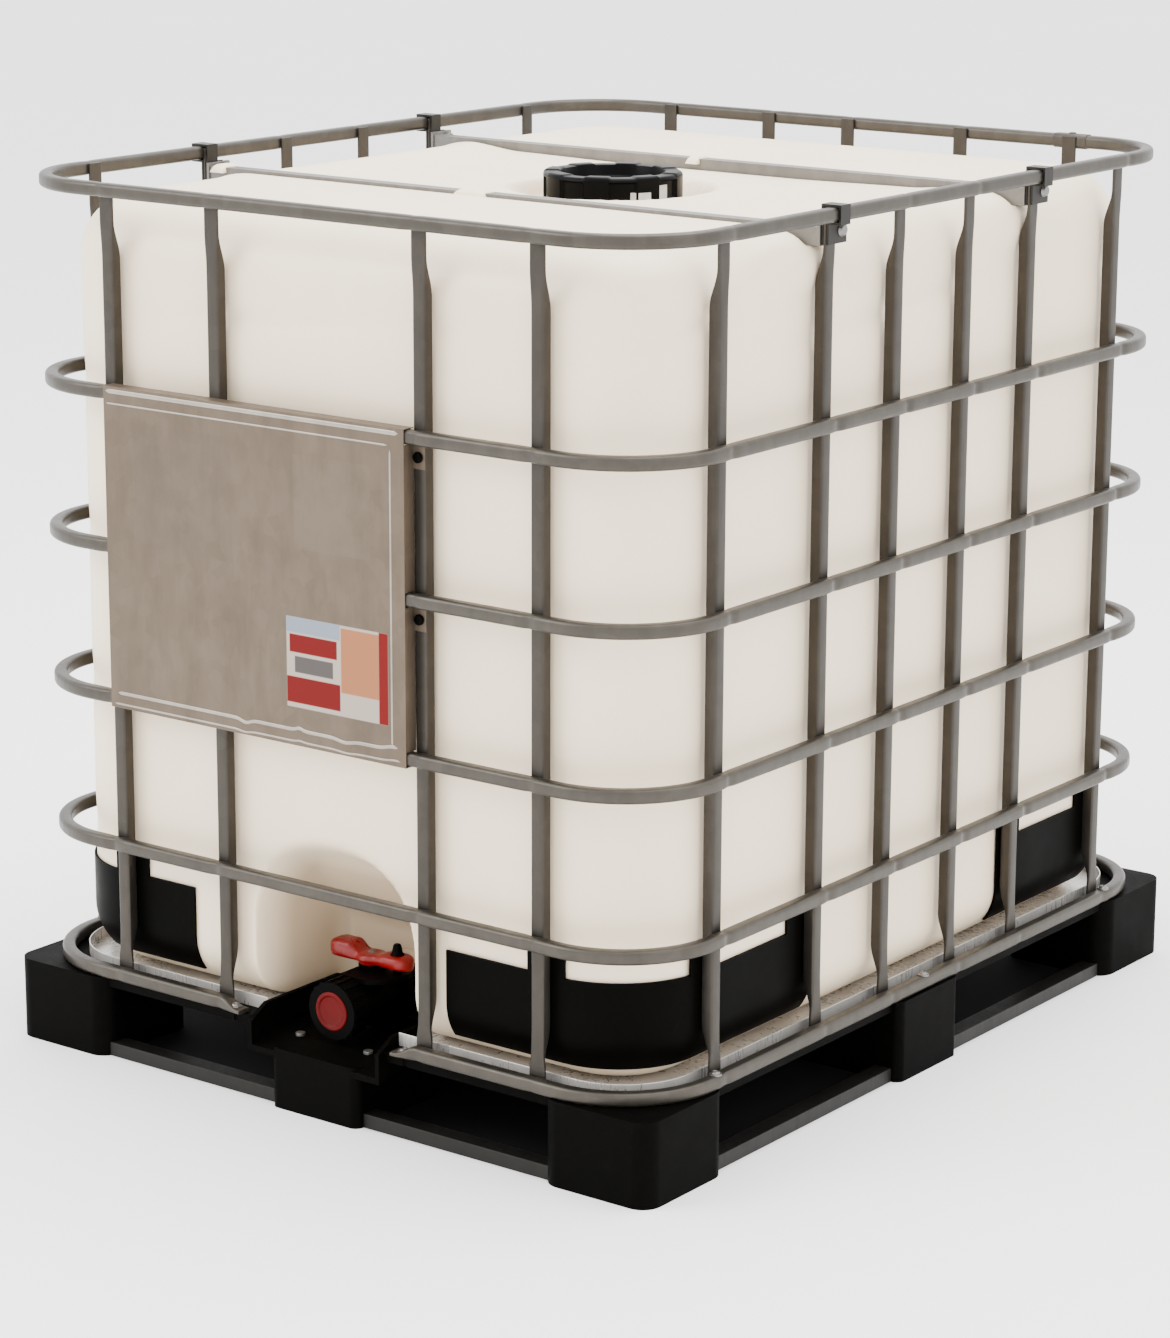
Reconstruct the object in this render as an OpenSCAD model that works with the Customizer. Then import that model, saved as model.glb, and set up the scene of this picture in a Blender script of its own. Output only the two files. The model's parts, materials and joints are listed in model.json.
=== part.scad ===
// Intermediate bulk container: a blown plastic tank in a welded tube cage,
// bolted to a pallet of moulded feet, steel runners and a steel floor pan.
// Frame: +Z up, front with the outlet valve at -Y, origin at the centre of the footprint.

/* [Footprint and height] */
// Width of the footprint, across the front
foot_w = 1000; // [950:10:1200]
// Length of the footprint, front to back
foot_l = 1200; // [1100:10:1440]
// Height to the top of the bar straps
total_h = 1110; // [930:10:1340]

/* [Pallet] */
// Height of the feet, up to the underside of the cage
foot_h = 105; // [88:1:126]
// Width of a corner foot, along the front
corner_foot_w = 155; // [130:5:190]
// Length of a corner foot, along the side
corner_foot_l = 158; // [130:2:190]
// Width of the middle feet
mid_foot_w = 138; // [116:2:166]
// Radius of the outer edge of a corner foot
foot_edge_r = 25; // [10:1:40]
// Wall of the moulded feet
foot_wall = 8; // [5:1:10]
// Thickness of the deck that ties the feet together
deck_t = 13; // [10:1:16]
// Distance from the footprint to the edge of the deck
deck_inset = 12; // [9:1:14]
// Height of the runner tubes
runner_h = 18; // [15:1:22]
// Width of the runner tubes
runner_w = 24; // [20:1:29]
// Wall of the runner tubes
runner_wall = 1.5; // [1:0.1:2]
// Distance from the footprint to the runners
runner_inset = 12; // [10:1:15]
// Shank diameter of the foot screws
foot_screw_d = 6; // [5:0.5:7.5]

/* [Floor pan] */
// Sheet thickness of the floor pan
pan_t = 1.5; // [1.2:0.1:2]
// Height of the pan's rim above its floor
rim_h = 31; // [26:1:37]

/* [Cage] */
// Outer size of the cage tubes
tube = 17; // [14:0.5:18]
// Wall of the cage tubes
tube_wall = 1.2; // [1:0.1:1.6]
// Radius of the hoops at the corners, on their centre line
hoop_r = 125; // [104:1:150]
// Width of the uprights
upright_w = 18; // [15:0.5:22]
// Depth of the uprights
upright_d = 16; // [13:0.5:19]
// Thickness of the flattened upright ends
tongue_t = 4; // [3:0.5:5]
// Height of the lowest full hoop
hoop_low = 284; // [280:1:340]
// Distance between the full hoops
hoop_pitch = 190; // [158:1:200]
// Distance from the centre line to the inner front uprights
front_bar_in = 157; // [150:1:190]
// Distance from the side of the footprint to the outer front uprights
front_bar_out = 174; // [160:1:200]
// Distance from the centre line to the first side uprights
side_bar_in = 78; // [65:1:94]
// Distance from the centre line to the side uprights at the crossbars
side_bar_mid = 228; // [200:1:274]
// Distance from the front of the footprint to the outer side uprights
side_bar_out = 161; // [158:1:190]
// Offset of the middle back upright from the centre line
back_bar_mid = -25; // [-40:1:0]
// Thickness of the straps that hold the crossbars
strap_t = 3; // [2:0.5:4]
// Width of the crossbars
bar_w = 20; // [17:1:24]
// Height of the crossbars
bar_h = 22; // [18:1:24]
// Diameter of the strap bolts
strap_bolt_d = 8; // [6:0.5:8]

/* [Identification plate] */
// Left edge of the plate, from the centre line
plate_left = 320; // [290:1:340]
// Thickness of the plate
plate_t = 1; // [0.8:0.1:1.2]

/* [Tank] */
// Wall of the tank
tank_wall = 2.5; // [2:0.1:3]
// Radius of the tank's upright edges
tank_r = 120; // [110:1:144]
// Radius of the tank's top edges
top_edge_r = 75; // [62:1:90]
// Radius of the tank's bottom edges
bottom_edge_r = 70; // [58:1:80]
// Half width of the recess over the valve
recess_w = 120; // [105:1:125]
// Depth of the recess over the valve
recess_d = 145; // [140:1:160]
// Outer diameter of the filling neck
neck_d = 159; // [132:1:190]
// Wall of the filling neck
neck_wall = 7; // [5:0.5:8]
// Height of the filling neck
neck_h = 24; // [20:1:26]

/* [Corner guards] */
// Thickness of the corner guards
guard_t = 3; // [2.5:0.1:3.5]
// Height of the top edge of the guards
guard_top = 240; // [220:1:252]
// Height of the tabs above the guards' top edge
tab_h = 30; // [24:1:32]

/* [Filling lid] */
// Diameter of the lid's flange
lid_flange_d = 190; // [186:1:228]
// Height of the lid
lid_h = 45; // [38:1:46]
// Number of grip notches round the lid
lid_notches = 8; // [6:1:10]

/* [Outlet valve] */
// Height of the outlet's axis
outlet_z = 126; // [122:1:130]
// Bore of the outlet
outlet_d = 50; // [42:1:54]
// Outer diameter of the valve barrel and of the nozzle
barrel_d = 60; // [58:0.5:64]
// Diameter of the union nut
nut_d = 80; // [76:1:82]
// Diameter of the outlet cap
cap_d = 76; // [72:1:77]
// Diameter of the valve stem
stem_d = 12; // [10:0.5:14]
// Thickness of the valve disc at its rim
disc_t = 5; // [4:0.5:6]
// Length of each wing of the lever
wing_l = 62; // [52:1:66]
// Width of the lever's wings
wing_w = 26; // [22:1:30]

/* [Hidden] */
$fn = 64;
gap = 0.3;        // clearance between pieces that only lie near each other
run_fit = 0.05;   // radial clearance of a pin that turns in its hole
eps = 1;          // how far a cut runs past the face that it opens

ring_inset = strap_t;                       // the straps wrap round the top ring
rx = foot_w / 2 - ring_inset - tube / 2;    // hoop centre line, half width
ry = foot_l / 2 - ring_inset - tube / 2;    // hoop centre line, half length
ux = rx - tube / 2;                         // outer face of the side uprights
uy = ry - tube / 2;                         // outer face of the front and back uprights
top_z = total_h - strap_t - tube / 2;       // top ring centre line
base_z = foot_h + tube / 2;                 // bottom ring centre line
hoop_z = [for (k = [0:3]) hoop_low + k * hoop_pitch];
side_bars = [side_bar_in, side_bar_mid, foot_l / 2 - side_bar_out];
front_bars = [front_bar_in, foot_w / 2 - front_bar_out];
ring_end = 120;                             // the bottom ring stops here at the front
tongue_l = 30;                              // flattened length of an upright's lower end
taper_l = 45;                               // length over which an upright flattens

guard_gap = 1;                              // between the uprights and the guards
tx = ux - upright_d - guard_gap - guard_t - gap;   // tank, half width
ty = uy - upright_d - guard_gap - guard_t - gap;   // tank, half length
tank_z = foot_h + pan_t;                    // underside of the tank
tank_top = total_h - 30;
basin_z = total_h - 50;                     // floor of the hollow between the crossbars
basin_x = foot_w / 2 - 170;
neck_z = total_h - 66;                      // floor of the round hollow at the neck
neck_top = neck_z + neck_h;
neck_hollow_r = neck_d / 2 + 46;

deck_z = foot_h - deck_t;                   // underside of the deck
trough_x = 98;                              // half width of the trough under the valve
trough_wall = 6;
trough_y = -foot_l / 2 + 168;               // back of the trough
trough_z = outlet_z - cap_d / 2 - 5;        // floor of the trough under the cap
recess_y = -ty + recess_d;                  // back wall of the recess
recess_top = 196;                           // where the recess starts to slope forward
sump_x = 75;
sump_y = recess_y + 115;                    // back of the sump
sump_z = deck_z + 1;
pan_x = tx + guard_t;                       // outer face of the pan's rim
pan_y = ty + guard_t;
pan_r = 98;

bar_z = basin_z + 1;                        // underside of the crossbars
bar_x = ux - tongue_t - gap - strap_t - 4;  // end of the crossbar tube
strap_bolt_y = 18;                          // bolt beside the upright
strap_bolt_z = bar_z + bar_h / 2 + 6;

plate_right = front_bar_in - 8;
plate_low = hoop_z[1] - tube / 2;
plate_high = hoop_z[3] + tube / 2;
plate_y = -foot_l / 2 + ring_inset - gap;   // inner face of the plate

stem_y = recess_y - 72;                     // axis of the lever, stem and disc
flange_y = stem_y + 37;                     // face of the valve that meets the gasket
outlet_end = stem_y - 65;                   // mouth of the outlet
cap_skirt = 18;                             // how far the cap reaches over the barrel
seal_t = 3;                                 // thickness of the flat seals
flange_r = barrel_d / 2 + 3;
boss_top = outlet_z + barrel_d / 2 + 12;
seat_t = 2.5;                               // wall of the rubber seat
seat_l = 28;
wing_z = boss_top + 3;                      // underside of the wings
pin_x = 40;                                 // lock pin, from the stem
pin_r = 5;
ear_top = boss_top - 5;                     // index plate under the lock pin
ear_y = outlet_end + cap_skirt + 1;         // its front edge, behind the cap

// ---------- outlines and sections ----------

// Rectangle with round corners, given by its half sizes
module round_rect(hx, hy, r) {
    square([2 * (hx - r), 2 * hy], center = true);
    square([2 * hx, 2 * (hy - r)], center = true);
    for (x = [-1, 1], y = [-1, 1]) translate([x * (hx - r), y * (hy - r)]) circle(r);
}

// Plate with round corners
module slab(hx, hy, r, z0, z1) {
    translate([0, 0, z0]) linear_extrude(z1 - z0) round_rect(hx, hy, r);
}

// Cross-section of a cage tube
module tube_section(wall) {
    difference() {
        round_rect(tube / 2, tube / 2, 5);
        round_rect(tube / 2 - wall, tube / 2 - wall, 5 - wall);
    }
}

// A section carried round a rectangle of half sizes hx, hy with corner radius r.
// The front run can be left open over |x| < front_gap.
module carried_round(hx, hy, r, front_gap = 0) {
    for (sx = [-1, 1]) {
        translate([sx * hx, hy - r, 0]) rotate([90, 0, 0])
            linear_extrude(2 * (hy - r)) scale([sx, 1]) children();
        translate([sx * (hx - r), 0, 0]) for (sy = [-1, 1])
            translate([0, sy * (hy - r), 0]) rotate([0, 0, sy > 0 ? (sx > 0 ? 0 : 90) : (sx > 0 ? 270 : 180)])
                rotate_extrude(angle = 90) translate([r, 0]) children();
    }
    translate([-(hx - r), hy, 0]) rotate([90, 0, 90]) linear_extrude(2 * (hx - r)) children();
    for (sx = front_gap > 0 ? [-1, 1] : [1]) {
        run = front_gap > 0 ? hx - r - front_gap : 2 * (hx - r);
        start = sx > 0 && front_gap > 0 ? front_gap : -(hx - r);
        translate([start, -hy, 0]) rotate([90, 0, 90]) linear_extrude(run) scale([-1, 1]) children();
    }
}

// Half profile with a rounded top and bottom edge, from the axis out to r
module puck(r, top_e, bottom_e, z0, z1) {
    translate([0, z0 + bottom_e]) square([r, z1 - top_e - z0 - bottom_e]);
    translate([0, z1 - top_e]) square([r - top_e, top_e]);
    translate([0, z0]) square([r - bottom_e, bottom_e]);
    intersection() {
        translate([r - top_e, z1 - top_e]) circle(top_e);
        translate([r - top_e, z1 - top_e]) square(top_e);
    }
    intersection() {
        translate([r - bottom_e, z0 + bottom_e]) circle(bottom_e);
        translate([r - bottom_e, z0]) square(bottom_e);
    }
}

// Box with round upright edges and rounded top and bottom edges
module round_box(hx, hy, r, top_e, bottom_e, z0, z1) {
    for (s = [0, 1]) mirror([0, s, 0])
        translate([-(hx - r), 0, 0]) rotate([90, 0, 90]) linear_extrude(2 * (hx - r))
            puck(hy, top_e, bottom_e, z0, z1);
    for (s = [0, 1]) mirror([s, 0, 0]) translate([hx - r, 0, 0]) {
        translate([0, hy - r, 0]) rotate([90, 0, 0]) linear_extrude(2 * (hy - r))
            puck(r, top_e, bottom_e, z0, z1);
        for (t = [0, 1]) mirror([0, t, 0]) translate([0, hy - r, 0])
            rotate_extrude(angle = 90) puck(r, top_e, bottom_e, z0, z1);
    }
}

// Round bar along Y, on the outlet's axis
module along_outlet(y0, y1, r) {
    translate([0, y0, outlet_z]) rotate([-90, 0, 0]) cylinder(h = y1 - y0, r = r);
}

// Ring along Y, on the outlet's axis
module outlet_ring(y0, y1, r_out, r_in) {
    difference() {
        along_outlet(y0, y1, r_out);
        along_outlet(y0 - eps, y1 + eps, r_in);
    }
}

// Upright cylinder on the stem's axis
module on_stem(z0, z1, r) {
    translate([0, stem_y, z0]) cylinder(h = z1 - z0, r = r);
}

// ---------- pallet ----------

// Box of a runner, widened by a clearance on its sides
module runner_box(x0, x1, y0, y1, c) {
    translate([x0 - c, y0 - c, -c * 4]) cube([x1 - x0 + 2 * c, y1 - y0 + 2 * c, runner_h + c * 4]);
}

// Limits of the five runners: front, back, left, right, centre
rox = foot_w / 2 - runner_inset;
roy = foot_l / 2 - runner_inset;
runner_boxes = [
    [-rox + runner_w, rox - runner_w, -roy, -roy + runner_w],
    [-rox + runner_w, rox - runner_w, roy - runner_w, roy],
    [-rox, -rox + runner_w, -roy, roy],
    [rox - runner_w, rox, -roy, roy],
    [-runner_w / 2, runner_w / 2, -roy + runner_w, roy - runner_w]
];

module runner_cuts() {
    for (b = runner_boxes) runner_box(b[0], b[1], b[2], b[3], gap);
}

module runner(k, along_x) {
    b = runner_boxes[k];
    wx = along_x ? -eps : runner_wall;
    wy = along_x ? runner_wall : -eps;
    color("lightgray") difference() {
        runner_box(b[0], b[1], b[2], b[3], 0);
        translate([b[0] + wx, b[2] + wy, runner_wall])
            cube([b[1] - b[0] - 2 * wx, b[3] - b[2] - 2 * wy, runner_h - 2 * runner_wall]);
    }
}

// Moulded foot, open below, with two crossed ribs that stand on the runners
module foot_shell(hx, hy, r, top) {
    difference() {
        slab(hx, hy, r, 0, top);
        difference() {
            slab(hx - foot_wall, hy - foot_wall, max(2, r - foot_wall), -eps, top - foot_wall);
            translate([-hx, -foot_wall / 2, -2 * eps]) cube([2 * hx, foot_wall, top]);
            translate([-foot_wall / 2, -hy, -2 * eps]) cube([foot_wall, 2 * hy, top]);
        }
    }
}

// Where the foot screws stand, as offsets from a foot's centre
module at_foot_screws(hx, hy) {
    for (s = [-1, 1]) translate([s * hx / 2, s * hy / 2, 0]) children();
}

foot_centres = [
    [-1, -1], [1, -1], [-1, 1], [1, 1]
];
module at_corner_foot(k) {
    c = foot_centres[k];
    translate([c[0] * (foot_w - corner_foot_w) / 2, c[1] * (foot_l - corner_foot_l) / 2, 0]) children();
}
module at_mid_foot(k) {
    x = (foot_w - corner_foot_w) / 2;
    y = (foot_l - corner_foot_l) / 2;
    translate([[-x, 0, 0], [x, 0, 0], [0, y, 0], [0, 0, 0]][k]) children();
}
function mid_half(k) = k < 2 ? [corner_foot_w / 2, mid_foot_w / 2] : k == 2
    ? [mid_foot_w / 2, corner_foot_l / 2] : [mid_foot_w / 2, mid_foot_w / 2];

// The deck, as the shape that is cut out of the feet
module deck_outline_cut() {
    slab(foot_w / 2 - deck_inset, foot_l / 2 - deck_inset, 60, deck_z, foot_h + eps);
}

module foot_screw_holes(d) {
    for (k = [0:3]) {
        at_corner_foot(k) at_foot_screws(corner_foot_w / 2, corner_foot_l / 2)
            translate([0, 0, deck_z - foot_wall - eps]) cylinder(h = foot_wall + deck_t - 2 + eps, d = d);
        at_mid_foot(k) at_foot_screws(mid_half(k)[0], mid_half(k)[1])
            translate([0, 0, deck_z - foot_wall - eps]) cylinder(h = foot_wall + deck_t - 2 + eps, d = d);
    }
}

// Where the bottom ring is screwed down, and how far down each screw reaches: [x, y, low]
ring_screw_low = deck_z - 26;
ring_screws = concat(
    [for (s = [-1, 1]) [s * rx, 0, ring_screw_low]], [[0, ry, ring_screw_low]],
    [for (s = [-1, 1]) [s * (ring_end + 14), -ry, deck_z + 1]],
    [for (sx = [-1, 1], sy = [-1, 1]) [sx * rx, sy * (ry - hoop_r - 12), ring_screw_low]]
);
ring_screw_d = 6;
module ring_screw_holes(d, c) {
    for (p = ring_screws) translate([p[0], p[1], p[2] - c])
        cylinder(h = foot_h + tube + eps + c - p[2], d = d);
}

module corner_foot(k) {
    color("#1b1b1a") difference() {
        union() {
            at_corner_foot(k) foot_shell(corner_foot_w / 2, corner_foot_l / 2, foot_edge_r, deck_z);
            difference() {
                at_corner_foot(k) slab(corner_foot_w / 2, corner_foot_l / 2, foot_edge_r, deck_z, foot_h);
                deck_outline_cut();
            }
        }
        runner_cuts();
        foot_screw_holes(foot_screw_d + 2 * gap);
        ring_screw_holes(ring_screw_d + 2 * gap, gap);
    }
}

module mid_foot(k) {
    h = mid_half(k);
    color("#1b1b1a") difference() {
        union() {
            at_mid_foot(k) foot_shell(h[0], h[1], 12, deck_z);
            difference() {
                at_mid_foot(k) slab(h[0], h[1], 12, deck_z - eps, foot_h);
                deck_outline_cut();
            }
        }
        runner_cuts();
        foot_screw_holes(foot_screw_d + 2 * gap);
        ring_screw_holes(ring_screw_d + 2 * gap, gap);
    }
}

// Front foot with the trough that the valve hangs in
module foot_valve_trough() {
    yf = -foot_l / 2;
    yb = trough_y;
    color("#1b1b1a") difference() {
        union() {
            translate([0, yf + corner_foot_l / 2, 0])
                foot_shell(mid_foot_w / 2, corner_foot_l / 2, 12, trough_z - 6);
            // floor of the trough, falling towards the front
            translate([-trough_x - trough_wall, 0, 0]) rotate([90, 0, 90])
                linear_extrude(2 * (trough_x + trough_wall))
                polygon([[yf, trough_z - 18], [yf, trough_z - 10], [yf + 40, trough_z],
                         [yb, trough_z], [yb, trough_z - 6], [yf + 40, trough_z - 6]]);
            // cheeks
            for (s = [-1, 1]) translate([s * (trough_x + trough_wall / 2) - trough_wall / 2, 0, 0])
                rotate([90, 0, 90]) linear_extrude(trough_wall)
                polygon([[yf, trough_z - 18], [yf, foot_h - 2], [yf + 30, foot_h + 14],
                         [yb, foot_h + 14], [yb, trough_z - 6], [yf + 40, trough_z - 6]]);
        }
        runner_cuts();
        for (s = [-1, 1]) translate([s * 54, yf + 40, trough_z - 30]) cylinder(h = 40, d = foot_screw_d + 2 * gap);
    }
}

module pallet_deck() {
    cell = 92;
    rib = 10;
    nx = floor((foot_w / 2 - deck_inset - 40) / (cell + rib));
    ny = floor((foot_l / 2 - deck_inset - 40) / (cell + rib));
    color("#222221") difference() {
        slab(foot_w / 2 - deck_inset, foot_l / 2 - deck_inset, 60, deck_z, foot_h);
        // pockets between the ribs, open below, away from the feet
        for (i = [-nx:nx], j = [-ny:ny])
            if (abs(i) * (cell + rib) > mid_foot_w / 2 + cell / 2 && abs(i) * (cell + rib)
                < foot_w / 2 - corner_foot_w - cell / 2
                || abs(j) * (cell + rib) > mid_foot_w / 2 + cell / 2 && abs(j) * (cell + rib)
                < foot_l / 2 - corner_foot_l - cell / 2)
                if (abs(i) * (cell + rib) > sump_x + cell / 2 + rib || j * (cell + rib) > sump_y + cell)
                translate([i * (cell + rib) - cell / 2, j * (cell + rib) - cell / 2, deck_z - eps])
                    cube([cell, cell, deck_t - 4 + eps]);
        trough_cut(deck_z - eps, foot_h + eps, gap);
        foot_screw_holes(foot_screw_d + gap);
        ring_screw_holes(ring_screw_d + gap, 2 * eps);
    }
}

// Opening for the trough and the sump
module trough_cut(z0, z1, c) {
    tw = trough_x + trough_wall + c;
    translate([-tw, -foot_l / 2 - eps, z0]) cube([2 * tw, trough_y + c + foot_l / 2 + eps, z1 - z0]);
    translate([-sump_x - 6, trough_y, z0]) cube([2 * sump_x + 12, sump_y + 6 - trough_y, z1 - z0]);
}

module floor_pan() {
    color("silver") difference() {
        slab(pan_x, pan_y, pan_r, foot_h, foot_h + rim_h);
        slab(pan_x - pan_t, pan_y - pan_t, pan_r - pan_t, foot_h + pan_t, foot_h + rim_h + eps);
        trough_cut(foot_h - eps, foot_h + rim_h + eps, gap);
    }
}

module foot_screws() {
    head = 5;
    color("silver") {
        for (k = [0:3]) {
            at_corner_foot(k) at_foot_screws(corner_foot_w / 2, corner_foot_l / 2) foot_screw(head);
            at_mid_foot(k) at_foot_screws(mid_half(k)[0], mid_half(k)[1]) foot_screw(head);
        }
        // the two screws in the floor of the trough
        for (s = [-1, 1]) translate([s * 54, -foot_l / 2 + 40, 0]) {
            translate([0, 0, trough_z]) cylinder(h = 4, d = 2 * foot_screw_d);
            translate([0, 0, trough_z - 20]) cylinder(h = 20.5, d = foot_screw_d);
        }
    }
}
module foot_screw(head) {
    translate([0, 0, deck_z - foot_wall - head]) cylinder(h = head, d = 2 * foot_screw_d);
    translate([0, 0, deck_z - foot_wall - head / 2])
        cylinder(h = foot_wall + deck_t - 3 + head / 2, d = foot_screw_d);
}

// Screws that hold the bottom ring down, with domed heads on the ring
module cage_screws() {
    z = foot_h + tube;
    color("gray") for (p = ring_screws) translate([p[0], p[1], 0]) {
        translate([0, 0, p[2]]) cylinder(h = z - p[2] + 1, d = ring_screw_d);
        translate([0, 0, z]) cylinder(h = 1.5, d = 15);
        translate([0, 0, z + 1.5]) cylinder(h = 3, d1 = 11, d2 = 7);
    }
}

// ---------- cage ----------

module hoop(z) {
    color("#8c8983") translate([0, 0, z]) carried_round(rx, ry, hoop_r) tube_section(tube_wall);
}

module ring_bottom() {
    color("#8c8983") difference() {
        translate([0, 0, base_z]) carried_round(rx, ry, hoop_r, ring_end) tube_section(tube_wall);
        ring_screw_holes(ring_screw_d + gap, gap);
    }
}

// Tube with both ends flattened against the rings; its outer face is y = 0, its depth runs to +Y
module upright() {
    z0 = foot_h + gap;
    z1 = top_z + tube / 2 - 2;
    za = z0 + tongue_l;
    zb = bar_z - 1;   // the upper end is flat past the crossbar straps
    difference() {
        intersection() {
            translate([-upright_w / 2, 0, 0]) rotate([90, 0, 90]) linear_extrude(upright_w)
                polygon([[0, z0], [0, z1], [tongue_t, z1], [tongue_t, zb], [upright_d, zb - taper_l],
                         [upright_d, za + taper_l], [tongue_t, za], [tongue_t, z0]]);
            translate([0, upright_d / 2, z0 - eps]) linear_extrude(z1 - z0 + 2 * eps)
                round_rect(upright_w / 2, upright_d / 2, 3);
        }
        translate([-upright_w / 2 + tube_wall, tube_wall, za + taper_l])
            cube([upright_w - 2 * tube_wall, upright_d - 2 * tube_wall, zb - za - 2 * taper_l]);
    }
}

module uprights_front() {
    color("#7d7a74") for (x = front_bars, s = [-1, 1]) translate([s * x, -uy, 0]) upright();
}
module uprights_back() {
    color("#7d7a74") for (x = concat(front_bars, -front_bars, [back_bar_mid]))
        translate([x, uy, 0]) rotate([0, 0, 180]) upright();
}
module uprights_side(s) {
    color("#7d7a74") for (y = side_bars, t = [-1, 1])
        translate([s * ux, t * y, 0]) rotate([0, 0, s * 90]) upright();
}

// Square tube across the tank, with a welded plate at each end
module crossbar(y) {
    color("#9a9792") difference() {
        union() {
            translate([-bar_x, y - bar_w / 2, bar_z]) cube([2 * bar_x, bar_w, bar_h]);
            for (s = [-1, 1]) translate([s * (bar_x + 2) - 2, y - bar_w / 2 - 2, bar_z]) cube([4, bar_w + 20, bar_h + 4]);
        }
        translate([-bar_x - eps, y - bar_w / 2 + 1.5, bar_z + 1.5]) cube([2 * bar_x + 2 * eps, bar_w - 3, bar_h - 3]);
        at_strap_bolts(y) translate([-10, 0, 0]) rotate([0, 90, 0]) cylinder(h = 20, d = strap_bolt_d + gap);
    }
}

// The two bolts of the crossbar at y, with x = 0 at the joint between end plate and strap
module at_strap_bolts(y) {
    for (s = [-1, 1]) translate([s * (bar_x + 4), y + strap_bolt_y, strap_bolt_z]) scale([s, 1, 1]) children();
}

// Strap over the top ring: inner leg, top, outer leg and a lower leg set back to the upright
module strap() {
    x0 = bar_x + 4;
    x1 = ux + gap;
    z0 = bar_z + 2;
    zr = top_z - tube / 2 - gap;
    difference() {
        union() {
            rotate([90, 0, 0]) translate([0, 0, -bar_w / 2]) linear_extrude(bar_w) polygon([
                [x0, z0], [x0, total_h], [foot_w / 2, total_h], [foot_w / 2, zr - strap_t],
                [x1 + strap_t, zr - strap_t], [x1 + strap_t, z0], [x1, z0], [x1, zr],
                [foot_w / 2 - strap_t, zr], [foot_w / 2 - strap_t, total_h - strap_t],
                [x0 + strap_t, total_h - strap_t], [x0 + strap_t, z0]]);
            for (x = [x0, x1]) translate([x, bar_w / 2 - 1, z0]) cube([strap_t, 19, zr - strap_t - z0]);
        }
        translate([x0 - 10, strap_bolt_y, strap_bolt_z]) rotate([0, 90, 0]) cylinder(h = 60, d = strap_bolt_d + gap);
    }
}

module crossbar_straps() {
    color("#6f6d68") for (t = [-1, 1]) translate([0, t * side_bar_mid, 0]) {
        strap();
        mirror([1, 0, 0]) strap();
    }
}

bolt_len = ux + gap + strap_t - bar_x - 4;
module strap_bolts() {
    color("silver") for (t = [-1, 1]) at_strap_bolts(t * side_bar_mid) {
        translate([-13, 0, 0]) rotate([0, 90, 0]) cylinder(h = bolt_len + 13, d = strap_bolt_d);
        translate([bolt_len, 0, 0]) rotate([0, 90, 0]) cylinder(h = 4.5, d1 = 17, d2 = 11);
    }
}
module strap_nuts() {
    color("silver") for (t = [-1, 1]) at_strap_bolts(t * side_bar_mid) difference() {
        translate([-10.5, 0, 0]) rotate([0, 90, 0]) cylinder(h = 6.5, d = 15, $fn = 6);
        translate([-20, 0, 0]) rotate([0, 90, 0]) cylinder(h = 30, d = strap_bolt_d + 0.1);
    }
}

// Sheet in front of the hoops, with a lip over the top hoop and under the lower one
module id_plate() {
    y0 = plate_y - plate_t;
    w = plate_left + plate_right;
    color("#a8a49c") difference() {
        union() {
            translate([-plate_left, y0, plate_low - gap - plate_t])
                cube([w, plate_t, plate_high - plate_low + 2 * (gap + plate_t)]);
            for (z = [plate_low - gap - plate_t, plate_high + gap])
                translate([-plate_left, y0, z]) cube([w, tube + gap + plate_t, plate_t]);
            // flange back to the third upright, with two tabs for the clips
            translate([plate_right - plate_t, y0, plate_low + 12])
                cube([plate_t, tube + 2 * gap + plate_t - gap, plate_high - plate_low - 24]);
            for (z = clip_z) translate([plate_right - plate_t, -uy - gap - plate_t, z - 14])
                cube([18, plate_t, 28]);
        }
        for (z = hoop_z) translate([plate_right - plate_t - eps, -ry - tube / 2 - gap / 2, z - tube / 2 - gap])
            cube([2 * eps + plate_t, tube + 2, tube + 2 * gap]);
        for (z = clip_z) translate([front_bar_in, -uy - 5, z]) rotate([-90, 0, 0]) cylinder(h = 10, d = 5 + gap);
    }
}
clip_z = [hoop_z[3] - 24, hoop_z[2] - 24];

// Push-in clips that hold the plate's tabs to the upright
module plate_clips() {
    color("#111111") for (z = clip_z) translate([front_bar_in, -uy - gap - plate_t, z]) {
        rotate([90, 0, 0]) cylinder(h = 3, d = 13);
        rotate([90, 0, 0]) translate([0, 0, 3]) cylinder(h = 1.5, d1 = 13, d2 = 9);
        rotate([-90, 0, 0]) cylinder(h = plate_t + gap, d = 5);
    }
}

// ---------- tank and guards ----------

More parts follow.
